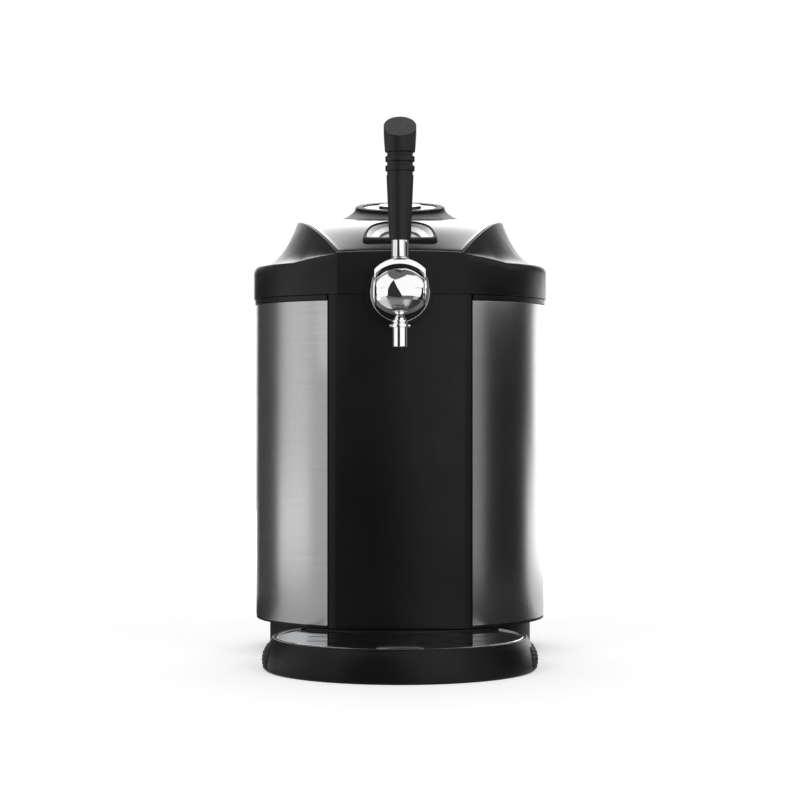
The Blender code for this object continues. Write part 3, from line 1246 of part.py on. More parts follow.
def make_crown(lid):
    """Round crown standing on the lid's surface, its recessed face tilted to the front."""
    face_radius = CROWN_TOP_RADIUS - CROWN_RIM
    sections = []
    for index in range(CROWN_STEPS):
        angle = FULL_TURN * index / CROWN_STEPS
        across = math.sin(angle)
        along = -math.cos(angle)

        def on_lid(radius):
            x = radius * across
            y = CROWN_Y + radius * along
            return (x, y, lid_surface(x, y) + FIT_GAP)

        def on_face(radius, offset):
            x = radius * across
            y = CROWN_Y + radius * along
            return (x, y, crown_plane(x, y, offset))

        sections.append([on_lid(CROWN_BASE_RADIUS), on_face(CROWN_TOP_RADIUS, -CROWN_BEVEL),
                         on_face(CROWN_TOP_RADIUS - CROWN_BEVEL, 0.0), on_face(face_radius, 0.0),
                         on_face(face_radius, -CROWN_RECESS), on_face(0.0, -CROWN_RECESS),
                         on_face(0.0, -CROWN_RECESS - CROWN_WALL),
                         on_face(CROWN_TOP_RADIUS - 2.0 * CROWN_WALL, -CROWN_RECESS - CROWN_WALL),
                         on_lid(CROWN_BASE_RADIUS - CROWN_WALL)])
    add_part("lid_crown", loft(sections, loop=True), SATIN_BLACK, lid)
    plate_radius = face_radius - FIT_GAP
    plate_low = -CROWN_RECESS + FIT_GAP
    plate_high = plate_low + PLATE_THICKNESS
    plate_outline = circle(plate_radius, CROWN_STEPS, (0.0, CROWN_Y))
    plate = []
    for offset in (plate_low, plate_high):
        plate.append([(x, y, crown_plane(x, y, offset)) for x, y in plate_outline])
    add_part("crown_plate", loft(plate), SATIN_SILVER, lid)
    cap_low = plate_high + FIT_GAP
    cap_sections = []
    for radius, offset in ((CAP_RADIUS, cap_low), (CAP_RADIUS, cap_low + CAP_HEIGHT - CAP_EDGE),
                           (CAP_RADIUS - CAP_EDGE, cap_low + CAP_HEIGHT)):
        ring = circle(radius, BORE_STEPS, (0.0, CROWN_Y))
        cap_sections.append([(x, y, crown_plane(x, y, offset)) for x, y in ring])
    add_part("crown_cap", loft(cap_sections), SATIN_BLACK, lid)


def barrel_arc(height, start, end):
    """Points of the hinge barrel in the (y, z) plane between two angles."""
    points = []
    for index in range(SMALL_STEPS // 2 + 1):
        angle = start + (end - start) * index / (SMALL_STEPS // 2)
        points.append((HINGE_Y + BARREL_RADIUS * math.cos(angle), height + BARREL_RADIUS * math.sin(angle)))
    return points


def side_prism(outline, low, high):
    """Raise a (y, z) outline along X."""
    return loft([[(x, y, z) for y, z in outline] for x in (low, high)])


def make_hinge(parent, lid, height):
    """Hinge leaf on the lid, bracket on the collar's deck and the pin through both."""
    leaf_rear = lid_edge((0.0, RIDGE_REAR_Y))[1]
    leaf_front = leaf_rear - LEAF_LENGTH
    seats = [leaf_front, 0.5 * (leaf_front + leaf_rear), leaf_rear]
    below = [(y, lid_surface(0.0, y) + FIT_GAP) for y in seats]
    above = [(y, lid_surface(0.0, y) + FIT_GAP + LEAF_THICKNESS) for y in reversed(seats)]
    wrap = LEAF_WRAP_SHARE * HALF_TURN
    leaf = side_prism(below + barrel_arc(height, -wrap, wrap) + above, -LEAF_HALF, LEAF_HALF)
    leaf = add_part("hinge_leaf", leaf, MATT_BLACK, lid)
    foot_front = HINGE_Y - BRACKET_FRONT
    foot_rear = HINGE_Y + BRACKET_REAR
    foot = [(foot_rear, lid_surface(0.0, foot_rear) + 2.0 * FIT_GAP),
            (foot_rear, lid_surface(0.0, foot_rear) + 2.0 * FIT_GAP + LEAF_THICKNESS)]
    arc = barrel_arc(height, 0.0, HALF_TURN)
    toe = [(foot_front, lid_surface(0.0, foot_front) + FIT_GAP)]
    knuckles = []
    for side in (-1.0, 1.0):
        near = side * (LEAF_HALF + FIT_GAP)
        knuckles.append(side_prism(foot + arc + toe, near, near + side * KNUCKLE_LENGTH))
    reach = LEAF_HALF + FIT_GAP + KNUCKLE_LENGTH
    bracket = add_part("hinge_bracket", knuckles[0], MATT_BLACK, parent)
    combine(bracket, add_tool("bracket_knuckle", knuckles[1], parent), "UNION")
    bridge_front = HINGE_Y + BARREL_RADIUS + RUNNING_GAP
    bridge_low = lid_surface(0.0, bridge_front) + 2.0 * FIT_GAP
    bridge = block(2.0 * (LEAF_HALF + FIT_GAP + UNION_SINK), foot_rear - bridge_front - UNION_SINK,
                   LEAF_THICKNESS - FIT_GAP,
                   (0.0, 0.5 * (foot_rear + bridge_front - UNION_SINK), bridge_low + 0.5 * LEAF_THICKNESS))
    combine(bracket, add_tool("bracket_bridge", bridge, parent), "UNION")
    for part, owner, name in ((leaf, lid, "leaf_bore"), (bracket, parent, "bracket_bore")):
        bore = rod(HINGE_PIN_RADIUS + FIT_GAP, -reach - CUT_OVERRUN, reach + CUT_OVERRUN)
        combine(part, add_tool(name, moved(facing_right(bore), (0.0, HINGE_Y, height)), owner))
    pin = rod(HINGE_PIN_RADIUS, -reach, reach)
    add_part("hinge_pin", moved(facing_right(pin), (0.0, HINGE_Y, height)), ZINC, parent)


def make_tap(parent, pierced):
    """Tap body, shank, escutcheon and nut on the wall, and the lever on its pivot."""
    tap = add_empty("tap_pivot", parent, (0.0, TAP_Y, TAP_HEIGHT))
    wall = TAP_REACH
    escutcheon_front = wall - FIT_GAP - ESCUTCHEON_DEPTH
    shank_front = escutcheon_front - FIT_GAP - SOCKET_DEPTH
    shank_back = wall + SHANK_INSIDE + FRONT_LEDGE_WIDTH
    bore = turned([(0.0, wall - CUT_OVERRUN), (SHANK_RADIUS + FIT_GAP, wall - CUT_OVERRUN),
                   (SHANK_RADIUS + FIT_GAP, shank_back), (0.0, shank_back)], BORE_STEPS)
    wall_bore = add_tool("shank_wall_bore", facing_rear(bore), tap)
    for part in pierced:
        combine(part, wall_bore)
    shank = [(SHANK_BORE, shank_front + FIT_GAP), (SHANK_RADIUS, shank_front + FIT_GAP),
             (SHANK_RADIUS, shank_back), (SHANK_BORE, shank_back)]
    add_part("tap_shank", facing_rear(turned(shank, BORE_STEPS)), ZINC, tap)
    shield = [(SHANK_RADIUS + FIT_GAP, wall - FIT_GAP), (ESCUTCHEON_RADIUS, wall - FIT_GAP),
              (ESCUTCHEON_RADIUS, wall - FIT_GAP - ESCUTCHEON_EDGE),
              (ESCUTCHEON_RADIUS - ESCUTCHEON_EDGE, escutcheon_front),
              (ESCUTCHEON_FACE_SHARE * ESCUTCHEON_RADIUS, escutcheon_front),
              (ESCUTCHEON_DISH_SHARE * ESCUTCHEON_RADIUS, escutcheon_front + ESCUTCHEON_DISH),
              (NECK_TUBE_RADIUS + ESCUTCHEON_DISH, escutcheon_front + ESCUTCHEON_DISH),
              (NECK_TUBE_RADIUS, escutcheon_front), (SHANK_RADIUS + FIT_GAP, escutcheon_front)]
    add_part("tap_escutcheon", facing_rear(turned(shield, SHIELD_STEPS)), SATIN_BLACK, tap)
    skirt = wall + CREST_WIDTH + FRONT_LEDGE_WIDTH
    nut = wall_between(polygon_outline(NUT_APOTHEM, 6, NUT_STEPS), circle(SHANK_RADIUS + FIT_GAP, NUT_STEPS),
                       skirt + FIT_GAP, skirt + FIT_GAP + NUT_LENGTH, True)
    add_part("shank_locknut", facing_rear(nut), ZINC, tap)
    make_tap_body(tap, escutcheon_front)
    make_spout(tap)
    make_lever(tap)
    return shank_back


def make_tap_body(tap, escutcheon_front):
    """Ball body with flat cheeks, a neck to the wall, and bores for shank and pivot pin."""
    profile = []
    neck_start = math.asin(NECK_TUBE_RADIUS / BALL_RADIUS)
    steps = BALL_STEPS // 2
    for index in range(steps + 1):
        angle = HALF_TURN - (HALF_TURN - neck_start) * index / steps
        profile.append((BALL_RADIUS * math.sin(angle), BALL_RADIUS * math.cos(angle)))
    neck_back = escutcheon_front - FIT_GAP
    profile[0] = (0.0, -BALL_RADIUS)
    profile += [(NECK_TUBE_RADIUS, neck_back), (SHANK_RADIUS + FIT_GAP, neck_back),
                (SHANK_RADIUS + FIT_GAP, neck_back - SOCKET_DEPTH), (0.0, neck_back - SOCKET_DEPTH)]
    body = add_part("tap_body", facing_rear(turned(profile, BALL_STEPS)), CHROME, tap)
    cheek = 2.0 * BALL_RADIUS
    cuts = [block(cheek, cheek, cheek, (0.0, 0.0, -BALL_FOOT - 0.5 * cheek))]
    for side in (-1.0, 1.0):
        cuts.append(block(cheek, 2.0 * cheek, cheek, (side * (CHEEK_HALF + 0.5 * cheek), 0.0, 0.0)))
    combine(body, add_tool("ball_flats", gathered(cuts), tap))
    reach = CHEEK_HALF + CUT_OVERRUN
    bore = rod(PIVOT_PIN_RADIUS + FIT_GAP, -reach, reach)
    combine(body, add_tool("pivot_bore", facing_right(bore), tap))


def make_spout(tap):
    """Turned spout under the ball and the loose ring with two lugs round it."""
    top = -BALL_FOOT - FIT_GAP
    cone = top - SPOUT_CONE_HEIGHT
    flange = cone - SPOUT_FLANGE_HEIGHT
    end = flange - SPOUT_TUBE_HEIGHT
    bore_top = end + SPOUT_BORE_SHARE * (flange - end)
    profile = [(0.0, top), (SPOUT_TOP_RADIUS, top), (SPOUT_CONE_RADIUS, cone), (SPOUT_FLANGE_RADIUS, cone),
               (SPOUT_FLANGE_RADIUS, flange), (SPOUT_TUBE_RADIUS, flange), (SPOUT_TUBE_RADIUS, end),
               (SPOUT_BORE, end), (SPOUT_BORE, bore_top), (0.0, bore_top)]
    add_part("spout", turned(profile, BORE_STEPS), CHROME, tap)
    ring_high = flange - SPOUT_RING_DROP
    ring_low = ring_high - SPOUT_RING_HEIGHT
    inside = SPOUT_TUBE_RADIUS + FIT_GAP
    ring = add_part("spout_ring", turned([(inside, ring_low), (SPOUT_RING_RADIUS, ring_low),
                                          (SPOUT_RING_RADIUS, ring_high), (inside, ring_high)], BORE_STEPS),
                    CHROME, tap)
    lugs = []
    for side in (-1.0, 1.0):
        lug = turned_about(rod(SPOUT_LUG_RADIUS, 0.0, SPOUT_LUG_REACH + UNION_SINK), "Y", side * RIGHT_ANGLE)
        lugs.append(moved(lug, (side * (SPOUT_RING_RADIUS - UNION_SINK), 0.0, 0.5 * (ring_low + ring_high))))
    combine(ring, add_tool("ring_lugs", gathered(lugs), tap), "UNION")


def yoke_outline():
    """The arched yoke in the (x, z) plane, open below."""
    inner_radius = BALL_RADIUS + YOKE_GAP
    outer_radius = inner_radius + YOKE_THICKNESS
    inner_half = CHEEK_HALF + FIT_GAP
    outer_end = math.asin(YOKE_OUTER_HALF / outer_radius)
    inner_end = math.asin(inner_half / inner_radius)
    outer = []
    inner = []
    for index in range(YOKE_ARCH_STEPS + 1):
        share = 2.0 * index / YOKE_ARCH_STEPS - 1.0
        outer.append((outer_radius * math.sin(outer_end * share), outer_radius * math.cos(outer_end * share)))
        inner.append((inner_radius * math.sin(inner_end * share), inner_radius * math.cos(inner_end * share)))
    outer = [(-YOKE_OUTER_HALF, -YOKE_ARM_DROP)] + outer + [(YOKE_OUTER_HALF, -YOKE_ARM_DROP)]
    inner = [(-inner_half, -YOKE_ARM_DROP)] + inner + [(inner_half, -YOKE_ARM_DROP)]
    return outer + list(reversed(inner))


def make_lever(tap):
    """Yoke over the ball, pivot pin, stem and the ringed handle with its slanted top."""
    half = 0.5 * YOKE_WIDTH
    yoke = loft([[(x, y, z) for x, z in yoke_outline()] for y in (-half, half)])
    yoke = add_part("tap_yoke", yoke, CHROME, tap)
    inner = CHEEK_HALF + FIT_GAP + YOKE_DISC_STEP
    rim = YOKE_OUTER_HALF + YOKE_DISC_STEP
    discs = []
    for side in (-1.0, 1.0):
        disc = [(0.0, inner), (YOKE_DISC_RADIUS, inner)]
        disc += [(YOKE_DISC_RADIUS * width, rim + YOKE_DISC_DOME * rise) for width, rise in YOKE_DISC_SHARES]
        disc = turned(disc, BORE_STEPS)
        discs.append(turned_about(disc, "Y", side * RIGHT_ANGLE))
    combine(yoke, add_tool("yoke_discs", gathered(discs), tap), "UNION")
    arch_top = BALL_RADIUS + YOKE_GAP + YOKE_THICKNESS
    boss_low = arch_top - 0.5 * YOKE_THICKNESS
    boss_high = arch_top + STEM_BOSS_RISE
    boss = turned([(0.0, boss_low), (STEM_RADIUS + STEM_BOSS_RISE, boss_low), (STEM_RADIUS, boss_high),
                   (0.0, boss_high)], BORE_STEPS)
    combine(yoke, add_tool("yoke_boss", boss, tap), "UNION")
    pin = rod(PIVOT_PIN_RADIUS, -CHEEK_HALF, CHEEK_HALF)
    add_part("pivot_pin", facing_right(pin), ZINC, tap)
    stem_low = boss_high + FIT_GAP
    stem_high = stem_low + STEM_HEIGHT
    stem = [(0.0, stem_low), (STEM_RADIUS - STEM_CHAMFER, stem_low), (STEM_RADIUS, stem_low + STEM_CHAMFER),
            (STEM_RADIUS, stem_high), (0.0, stem_high)]
    add_part("lever_stem", turned(stem, BORE_STEPS), CHROME, tap)
    make_handle(tap, stem_high + FIT_GAP)


def make_handle(tap, low):
    """Tapered handle with two proud rings between grooves, cut off on a slant at the top."""
    taper_top = low + HANDLE_TAPER_HEIGHT
    profile = [(0.0, low), (HANDLE_FOOT_RADIUS - RING_EDGE, low), (HANDLE_FOOT_RADIUS, low + RING_EDGE),
               (HANDLE_TAPER_RADIUS, taper_top - RING_EDGE), (HANDLE_TAPER_RADIUS - RING_EDGE, taper_top)]
    level = taper_top
    for _ in range(HANDLE_RINGS):
        profile += [(GROOVE_RADIUS, level + RING_EDGE), (GROOVE_RADIUS, level + GROOVE_HEIGHT - RING_EDGE)]
        level += GROOVE_HEIGHT
        ring_top = level + RING_HEIGHT
        profile += [(RING_RADIUS - RING_EDGE, level), (RING_RADIUS, level + RING_EDGE),
                    (RING_RADIUS, ring_top - RING_EDGE), (RING_RADIUS - RING_EDGE, ring_top)]
        level = ring_top
    profile += [(GROOVE_RADIUS, level + RING_EDGE), (GROOVE_RADIUS, level + GROOVE_HEIGHT - RING_EDGE)]
    level += GROOVE_HEIGHT
    top = level + GRIP_HEIGHT
    profile += [(GRIP_RADIUS - RING_EDGE, level), (GRIP_RADIUS, level + RING_EDGE),
                (GRIP_TOP_RADIUS, level + GRIP_BELLY_SHARE * GRIP_HEIGHT),
                (GRIP_TOP_RADIUS, top + CUT_OVERRUN), (0.0, top + CUT_OVERRUN)]
    handle = add_part("tap_handle", turned(profile, BORE_STEPS), SOFT_BLACK, tap)
    size = 4.0 * GRIP_TOP_RADIUS
    cut = block(size, size, size, (0.0, 0.0, 0.5 * size))
    cut = turned_about(cut, "X", HANDLE_SLANT)
    middle = top - GRIP_TOP_RADIUS * math.tan(HANDLE_SLANT)
    combine(handle, add_tool("handle_slant", moved(cut, (0.0, 0.0, middle)), tap))


def dock_outline(radius, bite):
    """Plan of the tray: a circle with a bite round the body's neck, about the tray's centre."""
    cross_y = (radius ** 2 - bite ** 2 + TRAY_REACH ** 2) / (2.0 * TRAY_REACH)
    cross_x = math.sqrt(radius ** 2 - cross_y ** 2)
    arc_end = math.atan2(cross_x, -cross_y)
    bite_end = math.asin(cross_x / bite)
    points = []
    for index in range(BOWL_STEPS + 1):
        angle = arc_end * (2.0 * index / BOWL_STEPS - 1.0)
        points.append((radius * math.sin(angle), -radius * math.cos(angle)))
    for index in range(1, BITE_STEPS):
        angle = bite_end * (1.0 - 2.0 * index / BITE_STEPS)
        points.append((bite * math.sin(angle), TRAY_REACH - bite * math.cos(angle)))
    return points


def make_tray(parent):
    """Drip bowl docked round the neck, its grips and the slotted plate on its ledge."""
    tray = add_empty("tray_slide", parent, (0.0, -TRAY_REACH, 0.0))
    bite = NECK_RADIUS + DOCK_GAP
    top_radius = BOWL_RADIUS - BOWL_TOP_INSET
    ledge_outer = top_radius - LIP_WIDTH
    ledge_inner = ledge_outer - PLATE_LEDGE
    ledge_height = BOWL_HEIGHT - PLATE_RECESS - GRILLE_THICKNESS - FIT_GAP
    under_ledge = ledge_height - LEDGE_DEPTH
    rings = [(BOWL_RADIUS, bite, 0.0)]
    rings += [(BOWL_RADIUS * radius, bite, BOWL_HEIGHT * height) for radius, height in BOWL_BELLY_SHARES]
    belly = BOWL_RADIUS - BOWL_WALL
    upper_share, lower_share = BOWL_INSIDE_SHARES
    rings += [(top_radius, bite, BOWL_HEIGHT), (ledge_outer, PLATE_BITE - GRILLE_GAP, BOWL_HEIGHT),
              (ledge_outer, PLATE_BITE - GRILLE_GAP, ledge_height),
              (ledge_inner, PLATE_BITE + PLATE_LEDGE, ledge_height),
              (ledge_inner, PLATE_BITE + PLATE_LEDGE, under_ledge),
              (belly - upper_share * BOWL_TOP_INSET, bite + BOWL_WALL, under_ledge - LEDGE_DEPTH),
              (belly - lower_share * BOWL_TOP_INSET, bite + BOWL_WALL, 2.0 * BOWL_FLOOR),
              (belly - BOWL_FLOOR, bite + BOWL_WALL + BOWL_FLOOR, BOWL_FLOOR)]
    sections = []
    for radius, cut, height in rings:
        sections.append([(x, y, height) for x, y in dock_outline(radius, cut)])
    add_part("drip_bowl", loft(sections), SATIN_BLACK, tray)
    for side, name in ((-1.0, "grip_left"), (1.0, "grip_right")):
        add_part(name, grip_pad(side), RUBBER, tray)
    lift = add_empty("plate_lift", tray, (0.0, 0.0, ledge_height + FIT_GAP))
    plate_radius = ledge_outer - GRILLE_GAP
    plate = prism(dock_outline(plate_radius, PLATE_BITE), 0.0, GRILLE_THICKNESS)
    plate = add_part("drip_plate", plate, MIRROR_STEEL, lift)
    combine(plate, add_tool("plate_slots", gathered(plate_slots(plate_radius)), lift))
    combine(plate, add_tool("lift_tab", lift_tab(plate_radius), lift), "UNION")


def plate_slots(plate_radius):
    """Staggered rows of round-ended slots, clear of the rim, the bite and the lift tab."""
    zone = plate_radius - SLOT_MARGIN
    bite = PLATE_BITE + SLOT_REAR_MARGIN
    tab_y = -plate_radius + TAB_EDGE + TAB_LENGTH + SLOT_WIDTH
    rows = int(zone // SLOT_ROW_PITCH)
    columns = int(zone // SLOT_PITCH) + 1
    slots = []
    for row in range(-rows, rows + 1):
        y = SLOT_ROW_PITCH * row
        shift = 0.5 * SLOT_PITCH * (row % 2)
        for column in range(-columns, columns + 1):
            x = SLOT_PITCH * column + shift
            reach = abs(x) + 0.5 * SLOT_LENGTH
            inside = math.hypot(reach, abs(y) + 0.5 * SLOT_WIDTH) < zone
            clear_of_neck = math.hypot(max(abs(x) - 0.5 * SLOT_LENGTH, 0.0), TRAY_REACH - y) > bite
            clear_of_tab = y > tab_y or abs(x) - 0.5 * SLOT_LENGTH > TAB_HALF
            if inside and clear_of_neck and clear_of_tab:
                outline = stadium(SLOT_LENGTH, SLOT_WIDTH, (x, y))
                slots.append(prism(outline, -CUT_OVERRUN, GRILLE_THICKNESS + CUT_OVERRUN))
    return slots


def lift_tab(plate_radius):
    """A low hood with open ends, pressed up near the plate's front edge."""
    front = -plate_radius + TAB_EDGE
    sections = []
    for index in range(TAB_STEPS + 1):
        share = index / TAB_STEPS
        y = front + TAB_LENGTH * share
        swing = TAB_START_SHARE + (1.0 - TAB_START_SHARE) * share
        rise = TAB_RISE * math.sin(HALF_TURN * swing) * (1.0 - TAB_FALL_SHARE * share)
        half = TAB_HALF * math.sqrt(max(0.0, 1.0 - (TAB_ROUND_SHARE * share) ** 2))
        low = 0.5 * GRILLE_THICKNESS + max(0.0, rise - GRILLE_THICKNESS)
        high = 0.5 * GRILLE_THICKNESS + max(rise, TAB_TIP_SHARE * GRILLE_THICKNESS)
        sections.append([(-half, y, low), (half, y, low), (half, y, high), (-half, y, high)])
    return loft(sections)


def grip_pad(side):
    """Lens-shaped rubber pad with level ribs, wrapped round one side of the bowl."""
    steps = 2 * GRIP_RIBS
    sections = []
    for index in range(GRIP_STATIONS + 1):
        share = 2.0 * index / GRIP_STATIONS - 1.0
        angle = GRIP_PAD_ANGLE * share
        swell = GRIP_PAD_THICKNESS * (1.0 - share ** 2) + FIT_GAP
        section = []
        for level in range(steps + 1):
            height = GRIP_PAD_BOTTOM + GRIP_PAD_HEIGHT * level / steps
            bulge = 1.0 - (2.0 * level / steps - 1.0) ** 2
            groove = GRIP_RIB_DEPTH if level % 2 and swell * bulge > 2.0 * GRIP_RIB_DEPTH else 0.0
            cover = swell * (GRIP_EDGE_SHARE + (1.0 - GRIP_EDGE_SHARE) * bulge)
            section.append((bowl_radius_at(height) + FIT_GAP + cover - groove, height))
        for level in range(steps, -1, -steps // 4):
            height = GRIP_PAD_BOTTOM + GRIP_PAD_HEIGHT * level / steps
            section.append((bowl_radius_at(height) + FIT_GAP, height))
        sections.append([(side * radius * math.cos(angle), radius * math.sin(angle), height)
                         for radius, height in section])
    return loft(sections)


def bowl_radius_at(height):
    """Outer radius of the bowl at one height."""
    shares = ((1.0, 0.0),) + BOWL_BELLY_SHARES + (((BOWL_RADIUS - BOWL_TOP_INSET) / BOWL_RADIUS, 1.0),)
    level = height / BOWL_HEIGHT
    for (low_radius, low), (high_radius, high) in zip(shares, shares[1:]):
        if low <= level <= high:
            blend = (level - low) / (high - low)
            return BOWL_RADIUS * (low_radius + (high_radius - low_radius) * blend)
    return BOWL_RADIUS * shares[-1][0]


def make_keg_fittings(parent, shank_back):
    """Coupler over the keg's mouth, beer tube to the tap and gas regulator with its sleeve."""
    keg_top = LINER_BOTTOM + LINER_WALL + KEG_LENGTH
    low = keg_top + COUPLER_LIFT
    neck = low + COUPLER_NECK_SHARE * COUPLER_HEIGHT
    profile = [(PORT_RADIUS, low), (COUPLER_LIP_RADIUS, low), (COUPLER_LIP_RADIUS, low + COUPLER_LIP),
               (COUPLER_RADIUS, low + COUPLER_LIP), (COUPLER_RADIUS, neck),
               (COUPLER_NECK_RADIUS, neck + COUPLER_LIP),
               (COUPLER_NECK_RADIUS, low + COUPLER_HEIGHT), (0.0, low + COUPLER_HEIGHT),
               (0.0, neck), (PORT_RADIUS, neck)]
    fittings = add_empty("coupler_axis", parent, (0.0, CHAMBER_Y, 0.0))
    coupler = add_part("keg_coupler", turned(profile, BORE_STEPS), MATT_BLACK, fittings)
    port_height = 0.5 * (low + COUPLER_LIP + neck)
    port = facing_front(rod(PORT_RADIUS, 0.0, PORT_LENGTH + UNION_SINK))
    port = moved(port, (0.0, -COUPLER_RADIUS + UNION_SINK, port_height))
    combine(coupler, add_tool("beer_port", port, fittings), "UNION")
    regulator_left = REGULATOR_X - REGULATOR_RADIUS
    arm = facing_right(rod(PORT_RADIUS, 0.0, regulator_left - FIT_GAP - COUPLER_RADIUS + UNION_SINK))
    arm = moved(arm, (COUPLER_RADIUS - UNION_SINK, 0.0, port_height))
    combine(coupler, add_tool("gas_arm", arm, fittings), "UNION")
    make_beer_tube(port_height, shank_back, parent)
    make_gas_supply(port_height, fittings)


def make_beer_tube(port_height, shank_back, parent):
    """Beer tube from the shank to the coupler's port, in one shallow S."""
    start_y = TAP_Y + shank_back + FIT_GAP
    end_y = CHAMBER_Y - COUPLER_RADIUS - PORT_LENGTH - FIT_GAP
    reach = (end_y - start_y) * TUBE_SWELL_SHARE
    ys = (start_y, start_y + reach, end_y - reach, end_y)
    zs = (TAP_HEIGHT, TAP_HEIGHT, port_height, port_height)
    outer = []
    inner = []
    for index in range(TUBE_STATIONS + 1):
        share = index / TUBE_STATIONS
        place = Vector((0.0, cubic(ys, share), cubic(zs, share)))
        tangent = Vector((0.0, cubic_slope(ys, share), cubic_slope(zs, share))).normalized()
        upward = Vector((0.0, -tangent.z, tangent.y))
        across = Vector((1.0, 0.0, 0.0))
        for rings, radius in ((outer, TUBE_RADIUS), (inner, TUBE_RADIUS - TUBE_WALL)):
            rings.append([place + x * across + y * upward for x, y in circle(radius, TUBE_STEPS)])
    add_part("beer_tube", loft(outer + list(reversed(inner)), loop=True), CLEAR_TUBE, parent)


def cubic(controls, share):
    """Value of a cubic curve with four controls."""
    rest = 1.0 - share
    return (rest ** 3 * controls[0] + 3.0 * rest ** 2 * share * controls[1]
            + 3.0 * rest * share ** 2 * controls[2] + share ** 3 * controls[3])


def cubic_slope(controls, share):
    """Slope of the same curve."""
    rest = 1.0 - share
    return (rest ** 2 * (controls[1] - controls[0]) + 2.0 * rest * share * (controls[2] - controls[1])
            + share ** 2 * (controls[3] - controls[2]))


def fluted_outline(radius, depth, flutes):
    """A circle with shallow flutes, two points to each crest and each hollow."""
    points = []
    for index in range(4 * flutes):
        angle = FULL_TURN * index / (4 * flutes)
        reach = radius - depth * (index % 4 in (2, 3))
        points.append((reach * math.sin(angle), -reach * math.cos(angle)))
    return points


def make_gas_supply(height, fittings):
    """Gas regulator beside the coupler, its fluted knob and the cartridge sleeve."""
    half = 0.5 * REGULATOR_LENGTH
    face_radius = REGULATOR_RADIUS - REGULATOR_EDGE
    body = turned([(0.0, -half), (face_radius, -half), (REGULATOR_RADIUS, REGULATOR_EDGE - half),
                   (REGULATOR_RADIUS, half - REGULATOR_EDGE), (face_radius, half), (0.0, half)], BORE_STEPS)
    add_part("gas_regulator", moved(facing_rear(body), (REGULATOR_X, 0.0, height)), ZINC, fittings)
    knob_axis = add_empty("knob_axis", fittings, (REGULATOR_X, -half - FIT_GAP, height))
    knob = prism(fluted_outline(KNOB_RADIUS, KNOB_FLUTE_DEPTH, KNOB_FLUTES), 0.0, KNOB_LENGTH)
    add_part("regulator_knob", facing_front(knob), MATT_BLACK, knob_axis)
    sleeve_start = half + FIT_GAP
    outline = fluted_outline(SLEEVE_RADIUS, SLEEVE_RIB_DEPTH, SLEEVE_RIBS)
    rings = []
    for share, level in ((1.0, 0.0), (1.0, SLEEVE_LENGTH), (SLEEVE_END_SHARE, SLEEVE_LENGTH + SLEEVE_WALL)):
        rings.append([(x * share, y * share, level) for x, y in outline])
    sleeve = moved(facing_rear(loft(rings)), (REGULATOR_X, sleeve_start, height))
    add_part("cartridge_sleeve", sleeve, MATT_BLACK, fittings)


def main():
    """Build the dispenser."""
    clear_scene()
    body_axis = add_empty("body_axis", None, (0.0, AXIS_Y, 0.0))
    collar, foam = make_collar(body_axis)
    make_base(body_axis)
    housing, column = make_housing(body_axis)
    make_rear_cover(body_axis)
    make_power_entry(body_axis)
    make_chamber(body_axis)
    make_cooler(body_axis)
    make_lid(body_axis)
    shank_back = make_tap(body_axis, (collar, foam, column, housing))
    make_tray(body_axis)
    make_keg_fittings(body_axis, shank_back)


main()
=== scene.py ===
"""Looks of the keg dispenser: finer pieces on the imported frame, their materials, light and camera."""

import json
import math

import bmesh
import bpy
from mathutils import Matrix, Vector


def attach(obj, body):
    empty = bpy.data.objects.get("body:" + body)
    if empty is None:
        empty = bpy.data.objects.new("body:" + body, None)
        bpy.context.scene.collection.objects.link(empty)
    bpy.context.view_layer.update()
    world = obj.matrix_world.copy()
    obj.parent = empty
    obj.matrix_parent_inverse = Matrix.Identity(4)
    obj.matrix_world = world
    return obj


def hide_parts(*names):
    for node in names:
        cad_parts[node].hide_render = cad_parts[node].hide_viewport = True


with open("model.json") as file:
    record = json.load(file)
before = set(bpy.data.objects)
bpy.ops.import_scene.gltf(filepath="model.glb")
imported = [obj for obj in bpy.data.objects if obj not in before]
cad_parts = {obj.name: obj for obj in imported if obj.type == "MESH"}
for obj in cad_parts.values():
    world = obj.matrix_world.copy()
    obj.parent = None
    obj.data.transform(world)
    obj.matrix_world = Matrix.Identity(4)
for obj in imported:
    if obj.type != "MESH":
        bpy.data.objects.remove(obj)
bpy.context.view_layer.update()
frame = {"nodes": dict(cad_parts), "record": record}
nodes = frame["nodes"]

# Plan and heights of the body, about its own axis
AXIS_Y = 0.07725
BODY_RADIUS = 0.1375
FACE_DEPTH = 0.1256
FACE_HALF = math.sqrt(BODY_RADIUS ** 2 - FACE_DEPTH ** 2)
PANEL_RADIUS = 0.1354
PANEL_WALL = 0.0015
TRIM_RADIUS = 0.1364
TRIM_INSIDE = 0.1339
NECK_RADIUS = 0.1227
FIT = 0.0003
PANEL_LOW = 0.0305
PANEL_HIGH = 0.3211
TRIM_LOW = 0.3214
TRIM_HIGH = 0.3260
SEAM = 0.3263
SKIRT_BOTTOM = 0.31457
PANEL_START = math.radians(28.6)
PANEL_END = math.radians(146.0)
FULL = 2.0 * math.pi
SHARP_ANGLE = math.radians(20.0)
ROUND = 6

# Crest line and lid
BAND_TOP = SEAM + 0.0230
SHOULDER_RISE = 0.0070
SHOULDER_ROUND = 0.0036
FRONT_RISE = 0.0065
SWEEP_POWER = 2.1
RIDGE_HALF = 0.0985
RIDGE_Y = 0.035
RIDGE_REAR_Y = 0.112
LID_SUMMIT = SEAM + 0.0782
SUMMIT_Y = 0.025
LID_GAP = 0.0008
LID_EDGE = 0.0030
LID_WALL = 0.0024
COLLAR_WALL = 0.0020
LID_MIDDLE_Y = -0.010

